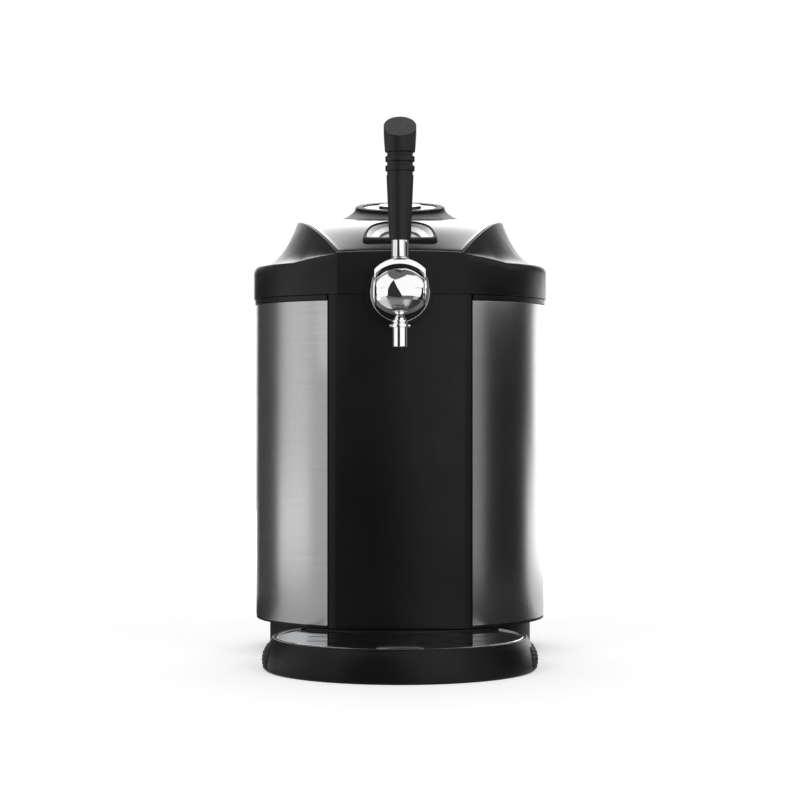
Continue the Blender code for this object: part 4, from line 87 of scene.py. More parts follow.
# Scoop, crown, tap, tray; the tap's reach goes from its pivot to the column
SCOOP_HALF = 0.0333
SCOOP_FRONT = -0.1120
SCOOP_REAR = -0.0440
SCOOP_CORNER = 0.0048
SCOOP_POWER = 2.4
CROWN_Y = 0.030
CROWN_BASE = 0.0552
CROWN_TOP = 0.0427
CROWN_HEIGHT = LID_SUMMIT + 0.0130
CROWN_TILT = math.radians(10.6)
FLARE_SPREAD = 0.0036
CAP_RADIUS = 0.0206
TAP_Y = -0.1656
TAP_Z = 0.3275
TAP_REACH = 0.0400
SHANK_BORE = 0.0083
BALL = 0.0220
CHEEK = 0.0209
BARREL_FLAT = 0.0210
GRIP_WAIST = 0.0112
GRIP_RING = 0.0128
HEAD_RADIUS = 0.0143
HEAD_TALL = 0.0330
HEAD_SLANT = math.radians(35.0)
TRAY_Y = -0.1746
BOWL_RADIUS = 0.1174
BOWL_HEIGHT = 0.0280
PLATE_THICK = 0.0012
BEAD = 0.0008
SLOT_PITCH = 0.0175
SLOT_HALF = 0.0100
SLOT_STRAIGHT = 0.0079
SLOT_END = 0.0021
TAB_START = 0.0080
TAB_LENGTH = 0.0200
TAB_RISE = 0.0042
TAB_HALF = 0.0193
PAD_LOW = 0.0017
PAD_TALL = 0.0190


# ---------------------------------------------------------------- numbers and mesh helpers
def between(pairs, at):
    """Straight-line interpolation through (place, value) pairs."""
    if at <= pairs[0][0]:
        return pairs[0][1]
    for (a, low), (b, high) in zip(pairs, pairs[1:]):
        if at <= b:
            return low + (high - low) * (at - a) / (b - a)
    return pairs[-1][1]


def smooth(share):
    """Ease a share between 0 and 1."""
    share = min(1.0, max(0.0, share))
    return share * share * (3.0 - 2.0 * share)


def new_object(name, bm, shift=(0.0, 0.0, 0.0)):
    bmesh.ops.translate(bm, verts=bm.verts, vec=Vector(shift))
    mesh = bpy.data.meshes.new(name)
    bm.to_mesh(mesh)
    bm.free()
    obj = bpy.data.objects.new(name, mesh)
    bpy.context.scene.collection.objects.link(obj)
    return obj


def tidy(bm):
    bmesh.ops.remove_doubles(bm, verts=bm.verts, dist=1e-7)
    bmesh.ops.recalc_face_normals(bm, faces=bm.faces)
    return bm


def loft(sections, loop=False):
    bm = bmesh.new()
    rings = [[bm.verts.new(point) for point in section] for section in sections]
    pairs = list(zip(rings, rings[1:])) + ([(rings[-1], rings[0])] if loop else [])
    for near, far in pairs:
        for i, corner in enumerate(near):
            j = (i + 1) % len(near)
            bm.faces.new((corner, near[j], far[j], far[i]))
    if not loop:
        bm.faces.new(rings[0])
        bm.faces.new(rings[-1])
    return tidy(bm)


def rounded(profile):
    """Round the corners of a closed outline; a corner's radius is its third number."""
    out = []
    count = len(profile)
    for i, corner in enumerate(profile):
        here = Vector(corner[:2])
        radius = corner[2] if len(corner) > 2 else 0.0
        back = Vector(profile[i - 1][:2]) - here
        ahead = Vector(profile[(i + 1) % count][:2]) - here
        if radius <= 0.0 or back.length < 1e-7 or ahead.length < 1e-7:
            out.append((here.x, here.y))
            continue
        reach = 0.46 * min(back.length, ahead.length)
        back.normalize()
        ahead.normalize()
        opening = back.angle(ahead)
        if opening > math.radians(176.0):
            out.append((here.x, here.y))
            continue
        tangent = min(radius / math.tan(0.5 * opening), reach)
        radius = tangent * math.tan(0.5 * opening)
        centre = here + (back + ahead).normalized() * (radius / math.sin(0.5 * opening))
        start = here + back * tangent - centre
        end = here + ahead * tangent - centre
        turn = start.angle(end)
        side = 1.0 if start.x * end.y - start.y * end.x > 0.0 else -1.0
        for k in range(ROUND + 1):
            a = side * turn * k / ROUND
            out.append((centre.x + start.x * math.cos(a) - start.y * math.sin(a),
                        centre.y + start.x * math.sin(a) + start.y * math.cos(a)))
    return out


def turned(profile, steps=128, start=0.0, sweep=FULL):
    whole = sweep >= FULL
    sections = []
    for i in range(steps if whole else steps + 1):
        a = start + sweep * i / steps
        sections.append([(r * math.sin(a), -r * math.cos(a), z) for r, z in profile])
    return loft(sections, loop=whole)


def swung(bm, axis, angle):
    bmesh.ops.rotate(bm, verts=bm.verts, cent=Vector(), matrix=Matrix.Rotation(angle, 3, axis))
    return bm


def to_rear(bm):
    return swung(bm, "X", -0.5 * math.pi)


def to_right(bm):
    return swung(bm, "Y", 0.5 * math.pi)


def box(width, depth, height, centre):
    bm = bmesh.new()
    bmesh.ops.create_cube(bm, size=1.0)
    bmesh.ops.scale(bm, vec=(width, depth, height), verts=bm.verts)
    bmesh.ops.translate(bm, verts=bm.verts, vec=Vector(centre))
    return bm


def carve(obj, bm, operation="DIFFERENCE"):
    """Cut a shape from a piece, or weld it on, and apply the result."""
    tool = new_object("tool", bm)
    modifier = obj.modifiers.new("carve", "BOOLEAN")
    modifier.operation = operation
    modifier.solver = "EXACT"
    modifier.object = tool
    graph = bpy.context.evaluated_depsgraph_get()
    mesh = bpy.data.meshes.new_from_object(obj.evaluated_get(graph))
    obj.modifiers.clear()
    obj.data = mesh
    bpy.data.objects.remove(tool, do_unlink=True)


def gathered(shapes):
    bm = bmesh.new()
    for shape in shapes:
        mesh = bpy.data.meshes.new("shape")
        shape.to_mesh(mesh)
        shape.free()
        bm.from_mesh(mesh)
        bpy.data.meshes.remove(mesh)
    return bm


def bevel(obj, width, segments=3, angle=30.0):
    modifier = obj.modifiers.new("edge", "BEVEL")
    modifier.width = width
    modifier.segments = segments
    modifier.limit_method = "ANGLE"
    modifier.angle_limit = math.radians(angle)
    modifier.harden_normals = True


def dress(obj, body, slot, material, *replaced, sharp=SHARP_ANGLE):
    """Shade a piece, seat it on its body and let it stand for its CAD nodes."""
    for polygon in obj.data.polygons:
        polygon.use_smooth = True
    obj.data.set_sharp_from_angle(angle=sharp)
    obj.data.materials.clear()
    obj.data.materials.append(material)
    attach(obj, body)
    if replaced:
        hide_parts(*replaced)


# ---------------------------------------------------------------- materials
def make_material(name, colour, roughness, metallic=0.0, **sockets):
    material = bpy.data.materials.new(name)
    material.use_nodes = True
    tree = material.node_tree
    shader = tree.nodes["Principled BSDF"]
    shader.inputs["Base Color"].default_value = (*colour, 1.0)
    shader.inputs["Roughness"].default_value = roughness
    shader.inputs["Metallic"].default_value = metallic
    for socket, value in sockets.items():
        shader.inputs[socket.replace("_", " ")].default_value = value
    return material, tree, shader


def noise(tree, scale, stretch=(1.0, 1.0, 1.0), detail=3.0, rough=0.55):
    where = tree.nodes.new("ShaderNodeTexCoord")
    mapping = tree.nodes.new("ShaderNodeMapping")
    mapping.inputs["Scale"].default_value = stretch
    texture = tree.nodes.new("ShaderNodeTexNoise")
    texture.inputs["Scale"].default_value = scale
    texture.inputs["Detail"].default_value = detail
    texture.inputs["Roughness"].default_value = rough
    tree.links.new(where.outputs["Object"], mapping.inputs["Vector"])
    tree.links.new(mapping.outputs["Vector"], texture.inputs["Vector"])
    return texture.outputs["Fac"]


def ranged(tree, value, low, high, start=0.3, end=0.7):
    node = tree.nodes.new("ShaderNodeMapRange")
    node.interpolation_type = "SMOOTHSTEP"
    node.inputs["From Min"].default_value = start
    node.inputs["From Max"].default_value = end
    node.inputs["To Min"].default_value = low
    node.inputs["To Max"].default_value = high
    tree.links.new(value, node.inputs["Value"])
    return node.outputs["Result"]


def tinted(tree, value, dark, light, start=0.3, end=0.7):
    ramp = tree.nodes.new("ShaderNodeValToRGB")
    ramp.color_ramp.interpolation = "EASE"
    ramp.color_ramp.elements[0].position = start
    ramp.color_ramp.elements[0].color = (*dark, 1.0)
    ramp.color_ramp.elements[1].position = end
    ramp.color_ramp.elements[1].color = (*light, 1.0)
    tree.links.new(value, ramp.inputs["Fac"])
    return ramp.outputs["Color"]


def bumped(tree, shader, value, strength, distance, before=None):
    bump = tree.nodes.new("ShaderNodeBump")
    bump.inputs["Strength"].default_value = strength
    bump.inputs["Distance"].default_value = distance
    tree.links.new(value, bump.inputs["Height"])
    if before is not None:
        tree.links.new(before, bump.inputs["Normal"])
    tree.links.new(bump.outputs["Normal"], shader.inputs["Normal"])
    return bump.outputs["Normal"]


def plastic(name, dark, light, rough_low, rough_high, grain=2600.0, strength=0.12, depth=0.00006, **sockets):
    """Moulded plastic: fine spark-eroded grain, slow flow marks and handled patches."""
    material, tree, shader = make_material(name, light, rough_high, **sockets)
    slow = noise(tree, 9.0, detail=4.0)
    fine = noise(tree, grain, detail=2.0)
    tree.links.new(tinted(tree, slow, dark, light), shader.inputs["Base Color"])
    patch = noise(tree, 31.0, detail=5.0, rough=0.62)
    tree.links.new(ranged(tree, patch, rough_low, rough_high), shader.inputs["Roughness"])
    first = bumped(tree, shader, slow, 0.10, 0.0004)
    bumped(tree, shader, fine, strength, depth, first)
    return material


def metal(name, dark, light, rough_low, rough_high, scale=60.0, stretch=(1.0, 1.0, 1.0), strength=0.05,
          depth=0.00003, **sockets):
    """Metal with a drawn or polished surface: streaked tone, roughness and relief."""
    material, tree, shader = make_material(name, light, rough_high, 1.0, **sockets)
    streak = noise(tree, scale, stretch, detail=5.0, rough=0.6)
    slow = noise(tree, 14.0, detail=3.0)
    tree.links.new(tinted(tree, streak, dark, light), shader.inputs["Base Color"])
    tree.links.new(ranged(tree, slow, rough_low, rough_high), shader.inputs["Roughness"])
    bumped(tree, shader, streak, strength, depth)
    return material


SATIN = plastic("satin_black", (0.0055, 0.0055, 0.0058), (0.0078, 0.0078, 0.0082), 0.34, 0.42,
                Specular_IOR_Level=0.22)
LID_BLACK = plastic("lid_black", (0.0060, 0.0060, 0.0064), (0.0085, 0.0085, 0.0090), 0.15, 0.18,
                    strength=0.03)
MATT = plastic("matt_black", (0.0060, 0.0060, 0.0064), (0.0090, 0.0090, 0.0095), 0.52, 0.66, strength=0.2,
               Specular_IOR_Level=0.3)
DEEP_BLACK = plastic("deep_black", (0.0060, 0.0060, 0.0063), (0.0085, 0.0085, 0.0089), 0.46, 0.56,
                     Specular_IOR_Level=0.10)
SOFT = plastic("soft_black", (0.0055, 0.0055, 0.0058), (0.0080, 0.0080, 0.0084), 0.40, 0.50, 3400.0,
               Specular_IOR_Level=0.35)
GREY = plastic("grey_plastic", (0.17, 0.17, 0.18), (0.21, 0.21, 0.22), 0.42, 0.55)
RUBBER = plastic("rubber", (0.008, 0.008, 0.008), (0.014, 0.014, 0.014), 0.62, 0.80, 1500.0, 0.3, 0.0001)
FOAM = plastic("foam", (0.62, 0.60, 0.55), (0.82, 0.80, 0.76), 0.90, 0.98, 700.0, 0.9, 0.0006)
CERAMIC = plastic("ceramic", (0.78, 0.78, 0.75), (0.87, 0.87, 0.85), 0.45, 0.60, 900.0)
BOARD = plastic("board_green", (0.02, 0.11, 0.05), (0.03, 0.16, 0.08), 0.30, 0.45, 420.0, 0.3, 0.0002)
TUBE = plastic("clear_tube", (0.74, 0.76, 0.76), (0.82, 0.84, 0.84), 0.12, 0.22)
BRUSHED = metal("brushed_steel", (0.445, 0.445, 0.45), (0.475, 0.475, 0.48), 0.25, 0.275, 20.0,
                (0.5, 0.5, 40.0), 0.01, 0.000005)
CHROME = metal("chrome", (0.94, 0.945, 0.95), (0.97, 0.972, 0.975), 0.025, 0.05, 30.0, strength=0.02)
MIRROR = metal("mirror_steel", (0.84, 0.875, 0.91), (0.89, 0.92, 0.95), 0.06, 0.10, 22.0,
               (1.0, 60.0, 1.0), 0.02)
SILVER = metal("satin_silver", (0.16, 0.16, 0.163), (0.21, 0.21, 0.214), 0.26, 0.34, 800.0)
ALUMINIUM = metal("aluminium", (0.62, 0.63, 0.64), (0.76, 0.77, 0.78), 0.30, 0.42, 20.0,
                  (2.0, 2.0, 70.0), 0.15)
ZINC = metal("zinc", (0.45, 0.46, 0.47), (0.58, 0.59, 0.60), 0.34, 0.46, 90.0, (1.0, 1.0, 1.0), 0.15)

FINISHES = {"satin_black": SATIN, "matt_black": MATT, "soft_black": SOFT, "grey_plastic": GREY,
            "board_green": BOARD, "clear_tube": TUBE, "brushed_steel": BRUSHED, "mirror_steel": MIRROR,
            "chrome": CHROME, "satin_silver": SILVER, "aluminium": ALUMINIUM, "zinc": ZINC, "rubber": RUBBER,
            "ceramic": CERAMIC, "foam": FOAM}

# CAD nodes that stay: their finish, and edges softened a little
for part in frame["record"]["subparts"]:
    node = nodes[part["node"]]
    for slot in node.material_slots:
        slot.material = FINISHES[part["material_slot"]]
    attribute = node.data.attributes.get("custom_normal")
    if attribute is not None:
        node.data.attributes.remove(attribute)
    for polygon in node.data.polygons:
        polygon.use_smooth = True
    weld = node.modifiers.new("weld", "WELD")
    weld.merge_threshold = 0.00001
    bevel(node, 0.00025, 2, 32.0)


# ---------------------------------------------------------------- plan formulas
def body_point(radius, face, angle):
    reach = radius
    if math.cos(angle) > face / radius:
        reach = face / math.cos(angle)
    return (reach * math.sin(angle), -reach * math.cos(angle))


def lid_surface(x, y):
    if y < SUMMIT_Y:
        fall = 0.040 * ((SUMMIT_Y - y) / (SUMMIT_Y + FACE_DEPTH)) ** 2.2
    else:
        fall = 0.008 * ((y - SUMMIT_Y) / (RIDGE_REAR_Y - SUMMIT_Y)) ** 2.2
    return LID_SUMMIT - fall - 0.0044 * (x / RIDGE_HALF) ** 2


def ridge_half(y):
    share = max(0.0, (RIDGE_Y - y) / (RIDGE_Y + FACE_DEPTH))
    return RIDGE_HALF - (RIDGE_HALF - FACE_HALF) * share ** 1.7


def ridge_plan(front=16, side=64, rear=48):
    right = [(FACE_HALF * i / front, -FACE_DEPTH) for i in range(front + 1)]
    for i in range(1, side + 1):
        y = -FACE_DEPTH + (RIDGE_Y + FACE_DEPTH) * i / side
        right.append((ridge_half(y), y))
    for i in range(1, rear + 1):
        a = 0.5 * math.pi * i / rear
        right.append((RIDGE_HALF * max(math.cos(a), 0.0) ** (2.0 / 3.0),
                      RIDGE_Y + (RIDGE_REAR_Y - RIDGE_Y) * math.sin(a) ** (2.0 / 3.0)))
    right[-1] = (0.0, RIDGE_REAR_Y)
    return right + [(-x, y) for x, y in reversed(right[1:-1])]


def inwards(point, distance):
    reach = math.hypot(*point)
    share = (reach - distance) / reach
    return (point[0] * share, point[1] * share)


def crest_width(point):
    return 0.0015 + 0.0105 * max(0.0, (point[1] - RIDGE_Y) / (RIDGE_REAR_Y - RIDGE_Y)) ** 4.0


def ledge_width(point):
    start = 0.5 * FACE_DEPTH
    return 0.0035 + 0.0050 * min(1.0, max(0.0, (-point[1] - start) / (FACE_DEPTH - start)))


def lid_edge(point):
    return inwards(point, crest_width(point) + LID_GAP)


# ---------------------------------------------------------------- collar, lid, crown
def collar_section(point):
    reach = math.hypot(*point)
    direction = (point[0] / reach, point[1] / reach)
    outline = body_point(BODY_RADIUS, FACE_DEPTH, math.atan2(point[0], -point[1]))
    edge = math.hypot(*outline)
    run = max(0.0, edge - reach)
    level_y = 0.77 * FACE_DEPTH
    band_top = BAND_TOP + FRONT_RISE * min(1.0, max(0.0, (-outline[1] - level_y) / (FACE_DEPTH - level_y)))
    rounding = min(SHOULDER_ROUND, 0.35 * run)
    shoulder = band_top + SHOULDER_RISE
    crest = lid_surface(*point)
    outer = [(0.0, SEAM, 0.0004), (0.0, band_top)]
    for i in range(1, 9):
        a = 0.5 * math.pi * i / 8
        outer.append((rounding * (1.0 - math.cos(a)), band_top + SHOULDER_RISE * math.sin(a)))
    for i in range(1, 25):
        share = i / 24
        outer.append((rounding + (run - rounding) * share,
                      shoulder + (crest - shoulder) * share ** SWEEP_POWER))
    outer[-1] = (*outer[-1], 0.0003)
    deck = run + crest_width(point)
    skirt = deck + ledge_width(point)
    ledge = lid_surface(*lid_edge(point)) - LID_EDGE - FIT
    hidden = skirt - COLLAR_WALL
    section = outer + [(deck, lid_surface(*inwards(point, crest_width(point))), 0.0003), (deck, ledge),
                       (skirt, ledge, 0.0005), (skirt, SKIRT_BOTTOM), (hidden, SKIRT_BOTTOM),
                       (hidden, ledge - COLLAR_WALL)]
    # The hidden side follows the outer line at three of its points
    for i in (29, 17, 7):
        before, after = Vector(outer[i - 1][:2]), Vector(outer[i + 1][:2])
        tangent = (after - before).normalized()
        section.append((min(outer[i][0] + COLLAR_WALL * tangent.y, hidden - FIT),
                        min(outer[i][1] - COLLAR_WALL * tangent.x, ledge - COLLAR_WALL)))
    section.append((COLLAR_WALL, SEAM))
    return [((edge - a) * direction[0], (edge - a) * direction[1], z) for a, z in section_rounded(section)]


def section_rounded(section):
    """Round the named corners with a fixed number of points, whatever the corner's opening."""
    out = []
    for i, corner in enumerate(section):
        if len(corner) < 3:
            out.append(corner)
            continue
        here = Vector(corner[:2])
        back = Vector(section[i - 1][:2]) - here
        ahead = Vector(section[(i + 1) % len(section)][:2]) - here
        reach = min(corner[2], 0.45 * back.length, 0.45 * ahead.length)
        start = here + back.normalized() * reach if back.length > 1e-7 else here
        end = here + ahead.normalized() * reach if ahead.length > 1e-7 else here
        for k in range(4):
            t = k / 3.0
            blend = start.lerp(here, t).lerp(here.lerp(end, t), t)
            out.append((blend.x, blend.y))
    return out


ridge = ridge_plan()
collar = new_object("collar_shell", loft([collar_section(point) for point in ridge], loop=True))
bore = to_rear(turned([(0.0, 0.03), (SHANK_BORE, 0.03), (SHANK_BORE, 0.06), (0.0, 0.06)], 48))
bmesh.ops.translate(bore, verts=bore.verts, vec=(0.0, TAP_Y, TAP_Z))
carve(collar, bore)
collar.data.transform(Matrix.Translation((0.0, AXIS_Y, 0.0)))
dress(collar, "dispenser", "satin_black", SATIN, "top_collar")


def scoop_outline(half, front, rear, steps=72, turn=10):
    """D-shaped opening: straight in front, its two corners rounded, the rest a superellipse."""
    power = 2.0 / SCOOP_POWER
    start = math.asin(min(1.0, (SCOOP_CORNER / (rear - front)) ** (1.0 / power)))
    curve = []
    for i in range(steps + 1):
        a = start + (math.pi - 2.0 * start) * i / steps
        curve.append((half * math.copysign(abs(math.cos(a)) ** power, math.cos(a)),
                      front + (rear - front) * math.sin(a) ** power))
    reach = curve[0][0]
    arc = [(reach - SCOOP_CORNER * (1.0 - math.sin(0.5 * math.pi * k / turn)),
            front + SCOOP_CORNER * (1.0 - math.cos(0.5 * math.pi * k / turn))) for k in range(turn)]
    return arc + curve + [(-x, y) for x, y in reversed(arc)]


edge_line = [lid_edge(point) for point in ridge]
top = []
for drop, shrink in ((0.0010, 0.0), (0.0004, 0.00008), (0.0001, 0.0003)):
    line = [inwards(point, shrink) for point in edge_line]
    top.append([(x, y, lid_surface(x, y) - drop) for x, y in line])
inner_line = [inwards(point, 0.0006) for point in edge_line]
for i in range(31):
    share = i / 30.0
    ring = [(x * (1.0 - share), y + (LID_MIDDLE_Y - y) * share) for x, y in inner_line]
    top.append([(x, y, lid_surface(x, y)) for x, y in ring])
under = [[(x, y, lid_surface(x, y) - LID_EDGE) for x, y in edge_line]]
for share in (0.02, 0.3, 0.6, 1.0):
    ring = [(x * (1.0 - share), y + (LID_MIDDLE_Y - y) * share) for x, y in edge_line]
    under.append([(x, y, lid_surface(x, y) - LID_WALL) for x, y in ring])
lid = new_object("lid_skin", loft(list(reversed(under)) + top, loop=True))
hole = scoop_outline(SCOOP_HALF + FIT, SCOOP_FRONT - FIT, SCOOP_REAR + FIT)
carve(lid, loft([[(x, y, z) for x, y in hole] for z in (0.35, 0.42)]))
lid.data.transform(Matrix.Translation((0.0, AXIS_Y, 0.0)))
dress(lid, "lid", "satin_black", LID_BLACK, "lid_shell")

# Finger scoop: rim and stepped dish
outer = scoop_outline(SCOOP_HALF, SCOOP_FRONT, SCOOP_REAR)
inner = scoop_outline(SCOOP_HALF - 0.0026, SCOOP_FRONT + 0.0120, SCOOP_REAR - 0.0026)
sections = []
for (ox, oy), (ix, iy) in zip(outer, inner):
    front_share = min(1.0, max(0.0, (-0.080 - oy) / 0.030))
    proud = 0.0008 + 0.0022 * front_share
    section = [(ox, oy, lid_surface(ox, oy) - 0.0028)]
    for t in (0.0, 0.04, 0.1, 0.2, 0.3, 0.4, 0.5, 0.6, 0.7, 0.8, 0.9, 0.96, 1.0):
        x, y = ox + (ix - ox) * t, oy + (iy - oy) * t
        section.append((x, y, lid_surface(x, y) + proud * max(0.0, math.sin(math.pi * t)) ** 0.7))
    section.append((ix, iy, lid_surface(ix, iy) - 0.0028))
    sections.append(section)
rim = new_object("scoop_frame", loft(sections, loop=True), (0.0, AXIS_Y, 0.0))
dress(rim, "lid", "satin_black", DEEP_BLACK, "scoop_rim", sharp=math.radians(50.0))

front, rear, half = SCOOP_FRONT + 0.0123, SCOOP_REAR - 0.0029, SCOOP_HALF - 0.0029
dish_depth = 0.0062
upper, lower, levels = [], [], []
for a, b in (((1.0, 0.0), (0.86, 0.45)), ((0.86, 0.45), (0.66, 0.72)), ((0.66, 0.72), (0.60, 1.0))):
    for i in range(6):
        levels.append((a[0] + (b[0] - a[0]) * i / 6, a[1] + (b[1] - a[1]) * i / 6))
levels.append((0.60, 1.0))
for size, depth in levels:
    shrink = (1.0 - size) * (rear - front)
    ring = scoop_outline(half * size, front + 0.25 * shrink, rear - 0.75 * shrink)
    upper.append([(x, y, lid_surface(x, y) - 0.0008 - dish_depth * depth) for x, y in ring])
    lower.append([(x, y, lid_surface(x, y) - 0.0020 - dish_depth * depth) for x, y in ring])
dish = new_object("scoop_tray", loft([lower[-1], lower[0]] + upper), (0.0, AXIS_Y, 0.0))
dress(dish, "lid", "satin_silver", SILVER, "scoop_dish", sharp=math.radians(14.0))


def face_height(y):
    return CROWN_HEIGHT + (y - CROWN_Y) * math.tan(CROWN_TILT)


def crown_loft(profile, steps=144):
    """Turn (radius, offset, tilt share) about the crown's middle: share 0 lies on the lid, 1 on its face."""
    sections = []
    for i in range(steps):
        a = FULL * i / steps
        section = []
        for radius, offset, share in profile:
            x, y = radius * math.sin(a), CROWN_Y - radius * math.cos(a)
            low = lid_surface(x, y) + FIT
            section.append((x, y, low + (face_height(y) - low) * share + offset))
        sections.append(section)
    return loft(sections, loop=True)


flare = []
for i in range(13):
    t = i / 12.0
    radius = CROWN_TOP + (CROWN_BASE + FLARE_SPREAD - CROWN_TOP) * (1.0 - t) ** 1.9
    flare.append((radius, -0.0016 * t, t))
crown = flare + [(CROWN_TOP - 0.0002, -0.0009, 1.0), (CROWN_TOP - 0.0007, -0.0003, 1.0),
                 (CROWN_TOP - 0.0016, 0.0, 1.0), (CROWN_TOP - 0.0066, 0.0, 1.0),
                 (CROWN_TOP - 0.0072, -0.0003, 1.0), (CROWN_TOP - 0.0075, -0.0010, 1.0),
                 (CROWN_TOP - 0.0075, -0.0030, 1.0), (0.0, -0.0030, 1.0), (0.0, -0.0052, 1.0),
                 (CROWN_TOP - 0.0044, -0.0052, 1.0), (CROWN_BASE - 0.0022, 0.0, 0.0)]
obj = new_object("crown_ring", crown_loft(crown), (0.0, AXIS_Y, 0.0))
dress(obj, "lid", "satin_black", DEEP_BLACK, "lid_crown")
radius = CROWN_TOP - 0.0078
plate = [(0.0, -0.0027, 1.0), (radius, -0.0027, 1.0), (radius, -0.0015, 1.0), (radius - 0.0004, -0.0011, 1.0),
         (radius - 0.0060, -0.0011, 1.0), (radius - 0.0064, -0.0014, 1.0), (radius - 0.0070, -0.0014, 1.0),
         (radius - 0.0074, -0.0011, 1.0), (0.0, -0.0011, 1.0)]
obj = new_object("crown_disc", crown_loft(plate), (0.0, AXIS_Y, 0.0))
dress(obj, "lid", "satin_silver", SILVER, "crown_plate")
cap = [(0.0, -0.0008, 1.0), (CAP_RADIUS, -0.0008, 1.0), (CAP_RADIUS, 0.0004, 1.0),
       (CAP_RADIUS - 0.0002, 0.0009, 1.0), (CAP_RADIUS - 0.0008, 0.0014, 1.0),
       (CAP_RADIUS - 0.0030, 0.0014, 1.0), (CAP_RADIUS - 0.0045, 0.0009, 1.0), (0.0, 0.0007, 1.0)]
obj = new_object("crown_button", crown_loft(cap), (0.0, AXIS_Y, 0.0))
dress(obj, "lid", "satin_black", LID_BLACK, "crown_cap")

# ---------------------------------------------------------------- panels, trim, liner
sweep = PANEL_END - PANEL_START
sheet = rounded([(PANEL_RADIUS - PANEL_WALL, PANEL_LOW, 0.0003), (PANEL_RADIUS, PANEL_LOW, 0.0006),
                 (PANEL_RADIUS, PANEL_HIGH, 0.0006), (PANEL_RADIUS - PANEL_WALL, PANEL_HIGH, 0.0003)])
for name, start in (("side_panel_right", PANEL_START), ("side_panel_left", -PANEL_END)):
    obj = new_object(name + "_sheet", turned(sheet, 150, start, sweep), (0.0, AXIS_Y, 0.0))
    dress(obj, "dispenser", "brushed_steel", BRUSHED, name)
band = rounded([(TRIM_INSIDE, TRIM_LOW), (TRIM_RADIUS, TRIM_LOW, 0.0004), (TRIM_RADIUS, TRIM_HIGH, 0.0004),
                (TRIM_INSIDE, TRIM_HIGH)])
obj = new_object("trim_strip", turned(band, 200, PANEL_START, FULL - 2.0 * PANEL_START), (0.0, AXIS_Y, 0.0))
dress(obj, "dispenser", "satin_black", SATIN, "trim_band")
low, high, bore, skin = 0.0591, 0.31147, 0.088, 0.0015
can = rounded([(0.0, low), (bore + skin, low, 0.002), (bore + skin, high - skin),
               (bore + skin + 0.005, high - skin), (bore + skin + 0.005, high, 0.0004),
               (bore, high, 0.0006), (bore, low + skin, 0.001), (0.0, low + skin)])
obj = new_object("keg_can", turned(can, 128), (0.0, AXIS_Y - 0.010, 0.0))
dress(obj, "dispenser", "aluminium", ALUMINIUM, "keg_liner")

# ---------------------------------------------------------------- tap
TAP = (0.0, AXIS_Y + TAP_Y, TAP_Z)
seat = TAP_REACH - FIT
face = seat - 0.0062
shield = rounded([(SHANK_BORE, seat), (0.0296, seat, 0.0003), (0.0296, seat - 0.0018, 0.0006),
                  (0.0266, seat - 0.0021, 0.0003), (0.0263, face, 0.0009), (0.0222, face, 0.0006),
                  (0.0184, face + 0.0022, 0.0006), (0.0137, face + 0.0022, 0.0004),
                  (0.0115, face, 0.0003), (SHANK_BORE, face)])
obj = new_object("wall_shield", to_rear(turned(shield, 128)), TAP)
dress(obj, "dispenser", "satin_black", SATIN, "tap_escutcheon")
wire = 0.00028
bezel = [(0.0261 + wire * math.cos(FULL * k / 12), face - 0.0001 + wire * math.sin(FULL * k / 12))
         for k in range(12)]
obj = new_object("shield_bezel", to_rear(turned(bezel, 128)), TAP)
dress(obj, "dispenser", "chrome", CHROME, sharp=math.radians(60.0))

# The body is a barrel about the pivot; the yoke's ears carry its outline on
LONG, DEEP = 0.0256, 0.0214


def barrel(x):
    return DEEP * math.sqrt(max(0.0, 1.0 - (x / LONG) ** 2))


profile = [(0.0, -CHEEK)]
for i in range(65):
    x = CHEEK * math.sin(0.5 * math.pi * (2.0 * i / 64 - 1.0))
    profile.append((barrel(x), x))
profile.append((0.0, CHEEK))
obj = new_object("tap_barrel", to_right(turned(profile, 160)))
neck = [(0.0, 0.004), (0.0115, 0.004), (0.0115, face - FIT), (0.0, face - FIT)]
carve(obj, to_rear(turned(neck, 96)), "UNION")
recess = face - 0.0083
carve(obj, to_rear(turned([(0.0, recess), (SHANK_BORE, recess), (SHANK_BORE, 0.05), (0.0, 0.05)], 64)))
carve(obj, box(0.04, 0.04, 0.04, (0.0, 0.0, -BARREL_FLAT - 0.02)))
carve(obj, to_right(turned([(0.0, -0.03), (0.0033, -0.03), (0.0033, 0.03), (0.0, 0.03)], 32)))
obj.data.transform(Matrix.Translation(TAP))
dress(obj, "dispenser", "chrome", CHROME, "tap_body")


def arch(wide, high, half, steps=64):
    """Elliptic arch from one side to the other, as (x, z) points."""
    end = math.asin(half / wide)
    return [(wide * math.sin(end * (2.0 * i / steps - 1.0)), high * math.cos(end * (2.0 * i / steps - 1.0)))
            for i in range(steps + 1)]


arm_low, outer_half, inner_half = 0.0060, 0.0222, CHEEK + FIT
strap = [(-outer_half, arm_low)] + arch(0.0293, 0.0277, outer_half) + [(outer_half, arm_low)]
strap += [(inner_half, arm_low)] + list(reversed(arch(0.0271, 0.0230, inner_half))) + [(-inner_half, arm_low)]
obj = new_object("yoke_strap", loft([[(x, y, z) for x, z in strap] for y in (-0.0070, 0.0070)]))
discs = []
for side in (-1.0, 1.0):
    hub = [(0.0, inner_half + 0.0002), (0.0130, inner_half + 0.0002), (0.0134, inner_half + 0.0005)]
    for i in range(1, 33):
        a = 0.5 * math.pi * i / 32
        hub.append((0.0134 * math.cos(a), inner_half + 0.0005 + 0.0039 * math.sin(a)))
    hub[-1] = (0.0, inner_half + 0.0044)
    discs.append(swung(turned(hub, 96), "Y", side * 0.5 * math.pi))
carve(obj, gathered(discs), "UNION")
arch_top = BALL + 0.0015 + 0.0042
